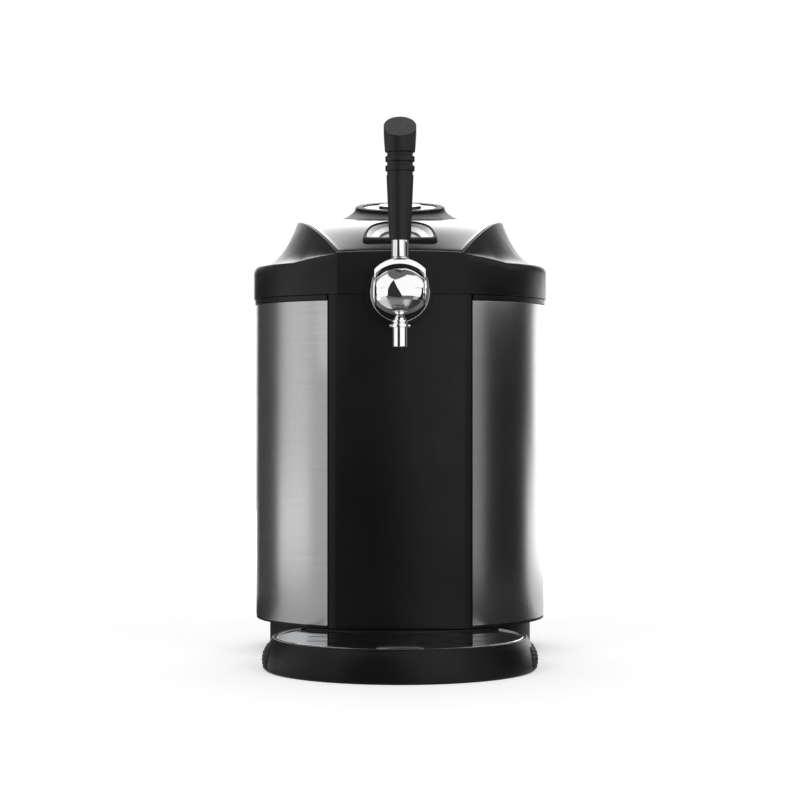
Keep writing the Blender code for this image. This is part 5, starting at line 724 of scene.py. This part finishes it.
boss = [(0.0, arch_top - 0.0021), (0.0096, arch_top - 0.0016), (0.0086, arch_top - 0.0006),
        (0.0079, arch_top + 0.0002), (0.0075, arch_top + 0.0010), (0.0, arch_top + 0.0010)]
carve(obj, turned(boss, 64), "UNION")
obj.data.transform(Matrix.Translation(TAP))
dress(obj, "lever", "chrome", CHROME, "tap_yoke", sharp=math.radians(28.0))
bevel(obj, 0.0007, 4, 35.0)

stem_low = arch_top + 0.0010 + FIT
stem_high = stem_low + 0.0146
stem = rounded([(0.0, stem_low), (0.0073, stem_low, 0.0006), (0.0073, stem_high), (0.0, stem_high)])
obj = new_object("stem_rod", turned(stem, 96), TAP)
dress(obj, "lever", "chrome", CHROME, "lever_stem")

low = stem_high + FIT
taper = low + 0.0563
level = taper
profile = [(0.0, low), (0.0094, low, 0.0006), (0.0118, taper, 0.0006)]
for _ in range(2):
    profile += [(GRIP_WAIST, level + 0.0002, 0.0004), (GRIP_WAIST, level + 0.0034, 0.0004)]
    level += 0.0036
    profile += [(GRIP_RING, level, 0.0007), (GRIP_RING, level + 0.0046, 0.0007)]
    level += 0.0046
profile += [(GRIP_WAIST, level + 0.0002, 0.0004), (GRIP_WAIST, level + 0.0034, 0.0004)]
level += 0.0036
head_top = level + HEAD_TALL
profile += [(0.0131, level, 0.0008)]
for i in range(1, 9):
    t = i / 8.0
    profile.append((0.0131 + 0.0012 * math.sin(0.5 * math.pi * t), level + 0.62 * HEAD_TALL * t))
profile += [(HEAD_RADIUS, head_top + 0.003), (0.0, head_top + 0.003)]
obj = new_object("handle_grip", turned(rounded(profile), 96))
cut = box(0.06, 0.06, 0.06, (0.0, 0.0, 0.03))
swung(cut, "X", HEAD_SLANT)
bmesh.ops.translate(cut, verts=cut.verts, vec=(0.0, 0.0, head_top - HEAD_RADIUS * math.tan(HEAD_SLANT)))
carve(obj, cut)
obj.data.transform(Matrix.Translation(TAP))
dress(obj, "lever", "soft_black", SOFT, "tap_handle")
bevel(obj, 0.0008, 4, 40.0)

spout_top = -BARREL_FLAT - FIT
cone = spout_top - 0.0046
flange = cone - 0.0020
end = flange - 0.0212
bottom = end + 0.85 * (flange - end)
profile = rounded([(0.0, spout_top), (0.0036, spout_top, 0.0008), (0.0060, cone, 0.0004),
                   (0.0070, cone, 0.0005), (0.0070, flange, 0.0005), (0.00625, flange, 0.0003),
                   (0.00625, end, 0.0006), (0.0046, end, 0.0004), (0.0046, bottom), (0.0, bottom)])
obj = new_object("spout_pipe", turned(profile, 96), TAP)
dress(obj, "dispenser", "chrome", CHROME, "spout")
high = flange - 0.0014
ring = rounded([(0.00655, high - 0.0030, 0.0003), (0.0078, high - 0.0030, 0.0006), (0.0078, high, 0.0006),
                (0.00655, high, 0.0003)])
obj = new_object("spout_collar", turned(ring, 96))
for side in (-1.0, 1.0):
    lug = rounded([(0.0, 0.0), (0.0013, 0.0), (0.0013, 0.0017, 0.0004), (0.0, 0.0017)])
    lug = swung(turned(lug, 32), "Y", side * 0.5 * math.pi)
    bmesh.ops.translate(lug, verts=lug.verts, vec=(side * 0.0073, 0.0, high - 0.0015))
    carve(obj, lug, "UNION")
obj.data.transform(Matrix.Translation(TAP))
dress(obj, "dispenser", "chrome", CHROME, "spout_ring")

# ---------------------------------------------------------------- drip tray
TRAY = (0.0, AXIS_Y + TRAY_Y, 0.0)
BITE = NECK_RADIUS + 0.0006
PLATE_BITE = BODY_RADIUS + 0.0020
BELLY = ((0.0, 1.0), (0.02, 0.9995), (0.24, 0.994), (0.52, 0.984), (0.78, 0.968), (0.95, 0.946),
         (1.0, 0.9353))


def dock_outline(radius, bite, arc=160, back=60):
    cross_y = (radius ** 2 - bite ** 2 + TRAY_Y ** 2) / (-2.0 * TRAY_Y)
    cross_x = math.sqrt(radius ** 2 - cross_y ** 2)
    arc_end = math.atan2(cross_x, -cross_y)
    bite_end = math.asin(cross_x / bite)
    points = []
    for i in range(arc + 1):
        a = arc_end * (2.0 * i / arc - 1.0)
        points.append((radius * math.sin(a), -radius * math.cos(a)))
    for i in range(1, back):
        a = bite_end * (1.0 - 2.0 * i / back)
        points.append((bite * math.sin(a), -TRAY_Y - bite * math.cos(a)))
    return points


def belly(share):
    """The bowl's outer radius as a share, averaged over a short height so that no station shows."""
    total = 0.0
    for k in range(-6, 7):
        total += between(BELLY, min(1.0, max(0.0, share + 0.012 * k)))
    return total / 13.0


top_radius = BOWL_RADIUS - 0.0076
ledge_outer = top_radius - 0.0023
ledge_inner = ledge_outer - 0.0032
ledge = BOWL_HEIGHT - 0.0010 - PLATE_THICK - FIT
rings = [(BOWL_RADIUS - 0.0006, BITE, 0.0)]
for i in range(25):
    share = 0.02 + 0.94 * i / 24.0
    rings.append((BOWL_RADIUS * belly(share), BITE, BOWL_HEIGHT * share))
rings += [(top_radius + 0.0008, BITE, BOWL_HEIGHT - 0.0004),
          (top_radius - 0.0001, BITE, BOWL_HEIGHT - 0.00005),
          (top_radius - 0.0006, BITE + 0.0004, BOWL_HEIGHT),
          (ledge_outer + 0.0004, PLATE_BITE - 0.0010, BOWL_HEIGHT),
          (ledge_outer + 0.0001, PLATE_BITE - 0.0007, BOWL_HEIGHT - 0.0001),
          (ledge_outer, PLATE_BITE - 0.0006, BOWL_HEIGHT - 0.0004), (ledge_outer, PLATE_BITE - 0.0006, ledge),
          (ledge_inner, PLATE_BITE + 0.0032, ledge), (ledge_inner, PLATE_BITE + 0.0032, ledge - 0.0020),
          (BOWL_RADIUS - 0.0030 - 0.0038, BITE + 0.0030, ledge - 0.0040),
          (BOWL_RADIUS - 0.0030 - 0.00076, BITE + 0.0030, 0.0050),
          (BOWL_RADIUS - 0.0055, BITE + 0.0055, 0.0025)]
bowl = new_object("tray_bowl", loft([[(x, y, z) for x, y in dock_outline(r, b)] for r, b, z in rings]), TRAY)
dress(bowl, "tray", "satin_black", SATIN, "drip_bowl")

plate_radius = ledge_outer - 0.0006
plate_low = ledge + FIT
slots = []
zone = plate_radius - 0.0150
tab_y = -plate_radius + TAB_START + TAB_LENGTH + 2.0 * SLOT_END
for row in range(-int(zone // SLOT_PITCH), int(zone // SLOT_PITCH) + 1):
    for column in range(-4, 5):
        x, y = 2.0 * SLOT_PITCH * column + SLOT_PITCH * (row % 2), SLOT_PITCH * row
        reach = max(abs(x) - SLOT_HALF, 0.0)
        inside = math.hypot(abs(x) + SLOT_HALF, abs(y) + SLOT_END) < zone
        off_bite = math.hypot(reach, -TRAY_Y - y) > PLATE_BITE + 0.0050
        if inside and off_bite and (y > tab_y or reach > TAB_HALF):
            outline = []
            for side in (1.0, -1.0):
                for i in range(11):
                    a = math.pi * i / 10
                    outline.append((x + side * (SLOT_STRAIGHT + SLOT_END * math.sin(a)),
                                    y - side * SLOT_END * math.cos(a)))
            slots.append(loft([[(px, py, z) for px, py in outline] for z in (-0.003, 0.005)]))
plate = new_object("tray_plate", loft([[(x, y, z) for x, y in dock_outline(plate_radius, PLATE_BITE)]
                                       for z in (0.0, PLATE_THICK)]))
carve(plate, gathered(slots))
tab = []
for i in range(33):
    t = i / 32.0
    y = -plate_radius + TAB_START + TAB_LENGTH * t
    rise = TAB_RISE * math.sin(math.pi * (0.12 + 0.88 * t)) * (1.0 - 0.25 * t)
    half = TAB_HALF * math.sqrt(max(0.0, 1.0 - (0.98 * t) ** 2))
    low_z = 0.5 * PLATE_THICK + max(0.0, rise - PLATE_THICK)
    high_z = 0.5 * PLATE_THICK + max(rise, 0.0009)
    across = [half * (2.0 * k / 16 - 1.0) for k in range(17)]
    edge = [1.0 - abs(2.0 * k / 16 - 1.0) ** 8.0 for k in range(17)]
    tab.append([(x, y, low_z) for x in across] + [(x, y, low_z + (high_z - low_z) * (0.35 + 0.65 * e))
                                                  for x, e in zip(reversed(across), reversed(edge))])
carve(plate, loft(tab), "UNION")
plate.data.transform(Matrix.Translation((0.0, TRAY[1], plate_low)))
dress(plate, "plate", "mirror_steel", MIRROR, "drip_plate", sharp=math.radians(25.0))
bevel(plate, 0.00035, 3, 35.0)

# Rolled edge along the plate's round side, a step short of its two points
bead = []
for x, y in dock_outline(plate_radius - BEAD, PLATE_BITE + BEAD)[2:159]:
    out = Vector((x, y)).normalized()
    bead.append([(x + BEAD * math.cos(FULL * k / 12) * out.x, y + BEAD * math.cos(FULL * k / 12) * out.y,
                  0.0013 + 0.0010 * math.sin(FULL * k / 12)) for k in range(12)])
obj = new_object("plate_rolled_edge", loft(bead), (0.0, TRAY[1], plate_low))
dress(obj, "plate", "mirror_steel", MIRROR, sharp=math.radians(60.0))

for side, name in ((-1.0, "grip_left"), (1.0, "grip_right")):
    sections = []
    for i in range(49):
        share = 2.0 * i / 48 - 1.0
        a = math.radians(13.0) * share
        swell = 0.0029 * (1.0 - share ** 2) + FIT
        section = []
        for k in range(97):
            z = PAD_LOW + PAD_TALL * k / 96
            bulge = 1.0 - (2.0 * k / 96 - 1.0) ** 2
            groove = 0.0006 * (0.5 - 0.5 * math.cos(FULL * 6.0 * k / 96)) * min(1.0, swell * bulge / 0.0012)
            r = BOWL_RADIUS * belly(z / BOWL_HEIGHT) + FIT + swell * (0.35 + 0.65 * bulge) - groove
            section.append((r, z))
        for k in (96, 64, 32, 0):
            z = PAD_LOW + PAD_TALL * k / 96
            section.append((BOWL_RADIUS * belly(z / BOWL_HEIGHT) + 0.5 * FIT, z))
        sections.append([(side * r * math.cos(a), r * math.sin(a), z) for r, z in section])
    obj = new_object(name + "_pad", loft(sections), TRAY)
    dress(obj, "tray", "rubber", RUBBER, name, sharp=math.radians(40.0))


# ---------------------------------------------------------------- stage, light, camera
FLAG_RADIUS = 0.50
FLAG_LOW = 0.002
FLAG_HIGH = 0.40
TABLE_HEIGHT = 0.0015
SKY_RADIUS = 3.1
CEILING_GLOW = 0.13
FLOOR_HALF = 2.6
CAMERA_DISTANCE = 2.100
CAMERA_HEIGHT = 0.2321


def emptied(holder):
    """Node tree of a material or world, without its first nodes."""
    holder.use_nodes = True
    holder.node_tree.nodes.clear()
    return holder.node_tree


def glow_material(name, sides):
    """Emission whose strength each point of a card carries, on both sides or on one."""
    material = bpy.data.materials.new(name)
    tree = emptied(material)
    out = tree.nodes.new("ShaderNodeOutputMaterial")
    glow = tree.nodes.new("ShaderNodeEmission")
    strength = tree.nodes.new("ShaderNodeAttribute")
    strength.attribute_name = "radiance"
    tree.links.new(strength.outputs["Fac"], glow.inputs["Strength"])
    if sides == "both":
        tree.links.new(glow.outputs[0], out.inputs["Surface"])
        return material
    side = tree.nodes.new("ShaderNodeNewGeometry")
    clear = tree.nodes.new("ShaderNodeBsdfTransparent")
    mix = tree.nodes.new("ShaderNodeMixShader")
    tree.links.new(side.outputs["Backfacing"], mix.inputs["Fac"])
    tree.links.new(glow.outputs[0], mix.inputs[1 if sides == "outside" else 2])
    tree.links.new(clear.outputs[0], mix.inputs[2 if sides == "outside" else 1])
    tree.links.new(mix.outputs[0], out.inputs["Surface"])
    return material


GLOW = {sides: glow_material("glow_" + sides, sides) for sides in ("both", "outside", "inside")}


def seen_directly(tree):
    """Camera, glossy or transmission ray: 1, any other ray: 0."""
    path = tree.nodes.new("ShaderNodeLightPath")
    total = path.outputs["Is Camera Ray"]
    for name in ("Is Glossy Ray", "Is Transmission Ray"):
        add = tree.nodes.new("ShaderNodeMath")
        add.operation = "ADD"
        add.use_clamp = True
        tree.links.new(total, add.inputs[0])
        tree.links.new(path.outputs[name], add.inputs[1])
        total = add.outputs[0]
    return total


def floor_material(colour, emission):
    """Pale floor that keeps the shadow near the object and fades into the white background."""
    material = bpy.data.materials.new("floor")
    tree = emptied(material)
    out = tree.nodes.new("ShaderNodeOutputMaterial")
    diffuse = tree.nodes.new("ShaderNodeBsdfDiffuse")
    diffuse.inputs["Color"].default_value = (colour, colour, colour, 1.0)
    glow = tree.nodes.new("ShaderNodeEmission")
    where = tree.nodes.new("ShaderNodeTexCoord")
    reach = tree.nodes.new("ShaderNodeVectorMath")
    reach.operation = "LENGTH"
    tree.links.new(where.outputs["Object"], reach.inputs[0])
    tree.links.new(ranged(tree, reach.outputs["Value"], emission, 1.0, 0.5, 1.5), glow.inputs["Strength"])
    both = tree.nodes.new("ShaderNodeAddShader")
    mix = tree.nodes.new("ShaderNodeMixShader")
    tree.links.new(diffuse.outputs[0], both.inputs[0])
    tree.links.new(glow.outputs[0], both.inputs[1])
    tree.links.new(seen_directly(tree), mix.inputs["Fac"])
    tree.links.new(diffuse.outputs[0], mix.inputs[1])
    tree.links.new(both.outputs[0], mix.inputs[2])
    tree.links.new(mix.outputs[0], out.inputs["Surface"])
    return material


def card(name, rows, radiance, sides="both"):
    """A flag or reflector that only reflections see; radiance is a number or a function of a point."""
    bm = bmesh.new()
    grid = [[bm.verts.new(point) for point in row] for row in rows]
    for low_row, high_row in zip(grid, grid[1:]):
        for i in range(len(low_row) - 1):
            bm.faces.new((low_row[i], low_row[i + 1], high_row[i + 1], high_row[i]))
    obj = new_object(name, bm)
    values = [radiance(*point) if callable(radiance) else radiance for row in rows for point in row]
    obj.data.attributes.new("radiance", "FLOAT", "POINT").data.foreach_set("value", values)
    obj.data.materials.append(GLOW[sides])
    obj.visible_camera = False
    obj.visible_diffuse = False
    obj.visible_shadow = False
    obj.visible_transmission = False


def around(radius, azimuth, z):
    a = math.radians(azimuth)
    return (radius * math.sin(a), AXIS_Y - radius * math.cos(a), z)


def wall(name, start, end, radius, radiance, steps=16):
    """A bent upright card about the body's axis, from one azimuth to another."""
    card(name, [[around(radius, start + (end - start) * i / steps, z) for i in range(steps + 1)]
                for z in (FLAG_LOW, FLAG_HIGH)], radiance)


def table(name, start, end, radii, radiance, steps=12):
    """A flat card on the floor about the body's axis."""
    card(name, [[around(radius, start + (end - start) * i / steps, TABLE_HEIGHT) for i in range(steps + 1)]
                for radius in radii], radiance)


def dome(name, start, end, low, high, radius, radiance, sides="both", steps=48, rows=6):
    """A card on a sphere about the tap; radiance is a number or a function of azimuth and elevation."""
    grid = []
    for j in range(rows + 1):
        e = math.radians(low + (high - low) * j / rows)
        grid.append([(radius * math.cos(e) * math.sin(a), TAP[1] - radius * math.cos(e) * math.cos(a),
                      TAP_Z + radius * math.sin(e))
                     for a in [math.radians(start + (end - start) * i / steps) for i in range(steps + 1)]])

    def from_point(x, y, z):
        azimuth = math.degrees(math.atan2(x, TAP[1] - y))
        return radiance(azimuth, math.degrees(math.asin(max(-1.0, min(1.0, (z - TAP_Z) / radius)))))

    card(name, grid, from_point if callable(radiance) else radiance, sides)


CEILING = ((-180.0, 62.0), (-150.0, 62.0), (-120.0, 60.0), (-94.0, 60.6), (-60.0, 57.0), (-27.0, 48.0),
           (-22.0, 46.0), (-18.0, 47.6), (20.0, 62.0), (61.0, 70.0), (80.0, 62.0), (105.0, 50.0),
           (130.0, 58.0), (150.0, 62.0), (180.0, 62.0))
BACK_SIDES = ((0.0, 1.5), (12.0, 3.0), (18.0, 4.5), (45.0, 6.2), (50.0, 6.0), (53.0, 4.8), (56.0, 3.2),
              (60.0, 1.2), (66.0, 0.15))
BACK_MIDDLE = ((0.0, 1.5), (12.0, 3.0), (18.0, 3.8), (28.0, 3.6), (34.0, 2.6), (40.0, 1.7), (45.0, 1.1),
               (50.0, 0.6), (54.0, 0.25), (60.0, 0.15))


def sky(azimuth, elevation):
    """Softbox behind the lid that fades upwards and towards its middle, white walls, dark ceiling."""
    off_back = 180.0 - abs(azimuth)
    middle, sides = between(BACK_MIDDLE, elevation), between(BACK_SIDES, elevation)
    box = middle + (sides - middle) * smooth((off_back - 3.0) / 9.0)
    side_wall = 1.0 - 0.75 * smooth((abs(azimuth) - 100.0) / 20.0)
    value = side_wall + (box - side_wall) * (1.0 - smooth((off_back - 15.0) / 14.0))
    return value + (CEILING_GLOW - value) * smooth((elevation - between(CEILING, azimuth)) / 3.0)


bm = bmesh.new()
bmesh.ops.create_grid(bm, x_segments=1, y_segments=1, size=FLOOR_HALF)
floor = new_object("floor", bm)
floor.data.materials.append(floor_material(0.80, 0.40))

dome("sky", -180.0, 180.0, -4.0, 89.9, SKY_RADIUS, sky, steps=240, rows=72)

# Low flags beside the panels and before the column, and the table that they stand on
wall("flag_left", -146.0, -99.0, FLAG_RADIUS, 0.08)
wall("screen_left", -66.0, -38.0, FLAG_RADIUS, 0.72)
wall("flag_right_near", 38.0, 60.0, FLAG_RADIUS, 0.42)
wall("flag_right", 60.0, 107.0, FLAG_RADIUS, 0.02)
wall("reflector_right", 124.0, 160.0, 0.80, 2.2)
front_y = TAP[1] - 0.46
flag = [(FLAG_LOW, -0.47, 0.060), (0.10, -0.46, 0.050), (0.20, -0.43, 0.030), (0.30, -0.40, -0.020),
        (0.36, -0.385, -0.050), (0.55, -0.33, -0.120), (0.84, -0.245, -0.220)]
card("flag_front", [[(left, front_y, z), (right, front_y, z)] for z, left, right in flag], 0.03)
TABLE = ((-150.0, 0.03), (-100.0, 0.03), (-88.0, 0.60), (-45.0, 0.60), (-30.0, 0.22), (6.0, 0.20),
         (14.0, 0.50), (26.0, 0.50), (34.0, 0.16), (42.0, 0.04), (110.0, 0.04))
table("table", -150.0, 110.0, (0.138, 0.22, 0.498),
      lambda x, y, z: between(TABLE, math.degrees(math.atan2(x, AXIS_Y - y))), 130)
table("table_front", -45.0, 44.0, (0.499, 0.65, 0.84), 0.14)

# Small windows and reflectors close to the tap, seen by its chrome alone
dome("window_left", -100.0, -50.0, -25.0, 7.0, 0.15, 1.0, "inside", 12)
dome("window_right", 50.0, 80.0, -25.0, 7.0, 0.15, 1.0, "inside", 12)
HALO = ((-25.0, 0.14), (40.0, 0.14), (50.0, 0.15), (125.0, 0.15), (140.0, 0.20), (205.0, 0.20),
        (225.0, 0.12), (262.0, 0.08), (280.0, 0.08), (300.0, 0.12), (325.0, 0.16), (335.0, 0.14))
rows = []
for radius in (0.1300, 0.0700, 0.0300):
    turns = [math.radians(a) for a in range(-25, 336, 5)]
    rows.append([(radius * math.cos(a), TAP[1] + 0.0335, TAP_Z + radius * math.sin(a)) for a in turns])
card("halo", rows, lambda x, y, z: between(
    HALO, (math.degrees(math.atan2(z - TAP_Z, x)) + 25.001) % 360.0 - 25.0), "outside")

world = bpy.data.worlds.new("studio")
bpy.context.scene.world = world
tree = emptied(world)
out = tree.nodes.new("ShaderNodeOutputWorld")
ambient = tree.nodes.new("ShaderNodeBackground")
ambient.inputs["Strength"].default_value = 0.40
white = tree.nodes.new("ShaderNodeBackground")
white.inputs["Strength"].default_value = 1.0
for background in (ambient, white):
    background.inputs["Color"].default_value = (1.0, 1.0, 1.0, 1.0)
mix = tree.nodes.new("ShaderNodeMixShader")
tree.links.new(seen_directly(tree), mix.inputs["Fac"])
tree.links.new(ambient.outputs[0], mix.inputs[1])
tree.links.new(white.outputs[0], mix.inputs[2])
tree.links.new(mix.outputs[0], out.inputs["Surface"])


def lamp(name, azimuth, elevation, distance, size, radiance):
    """A softbox aimed at the body from one side, which no reflection sees: the sky card stands for it."""
    a, e = math.radians(azimuth), math.radians(elevation)
    aim = Vector((0.0, 0.0, 0.33))
    place = aim + distance * Vector((math.cos(e) * math.sin(a), -math.cos(e) * math.cos(a), math.sin(e)))
    light = bpy.data.lights.new(name, "AREA")
    light.shape = "RECTANGLE"
    light.size, light.size_y = size
    light.energy = radiance * math.pi * size[0] * size[1]
    obj = bpy.data.objects.new(name, light)
    bpy.context.scene.collection.objects.link(obj)
    obj.location = place
    obj.rotation_euler = (aim - place).to_track_quat("-Z", "Y").to_euler()
    obj.visible_glossy = False


lamp("key_left", -50.0, 38.0, 2.4, (1.2, 1.4), 2.2)
lamp("key_right", 55.0, 36.0, 2.4, (1.2, 1.4), 2.2)
lamp("top_back", 180.0, 52.0, 2.6, (1.8, 1.4), 3.0)

camera = bpy.data.cameras.new("camera")
camera.lens = 100.0
camera.sensor_width = 36.0
camera.clip_end = 50.0
viewer = bpy.data.objects.new("camera", camera)
bpy.context.scene.collection.objects.link(viewer)
viewer.location = (0.0, AXIS_Y - CAMERA_DISTANCE, CAMERA_HEIGHT)
viewer.rotation_euler = (0.5 * math.pi, 0.0, 0.0)
bpy.context.scene.camera = viewer
bpy.context.scene.view_settings.view_transform = "Standard"
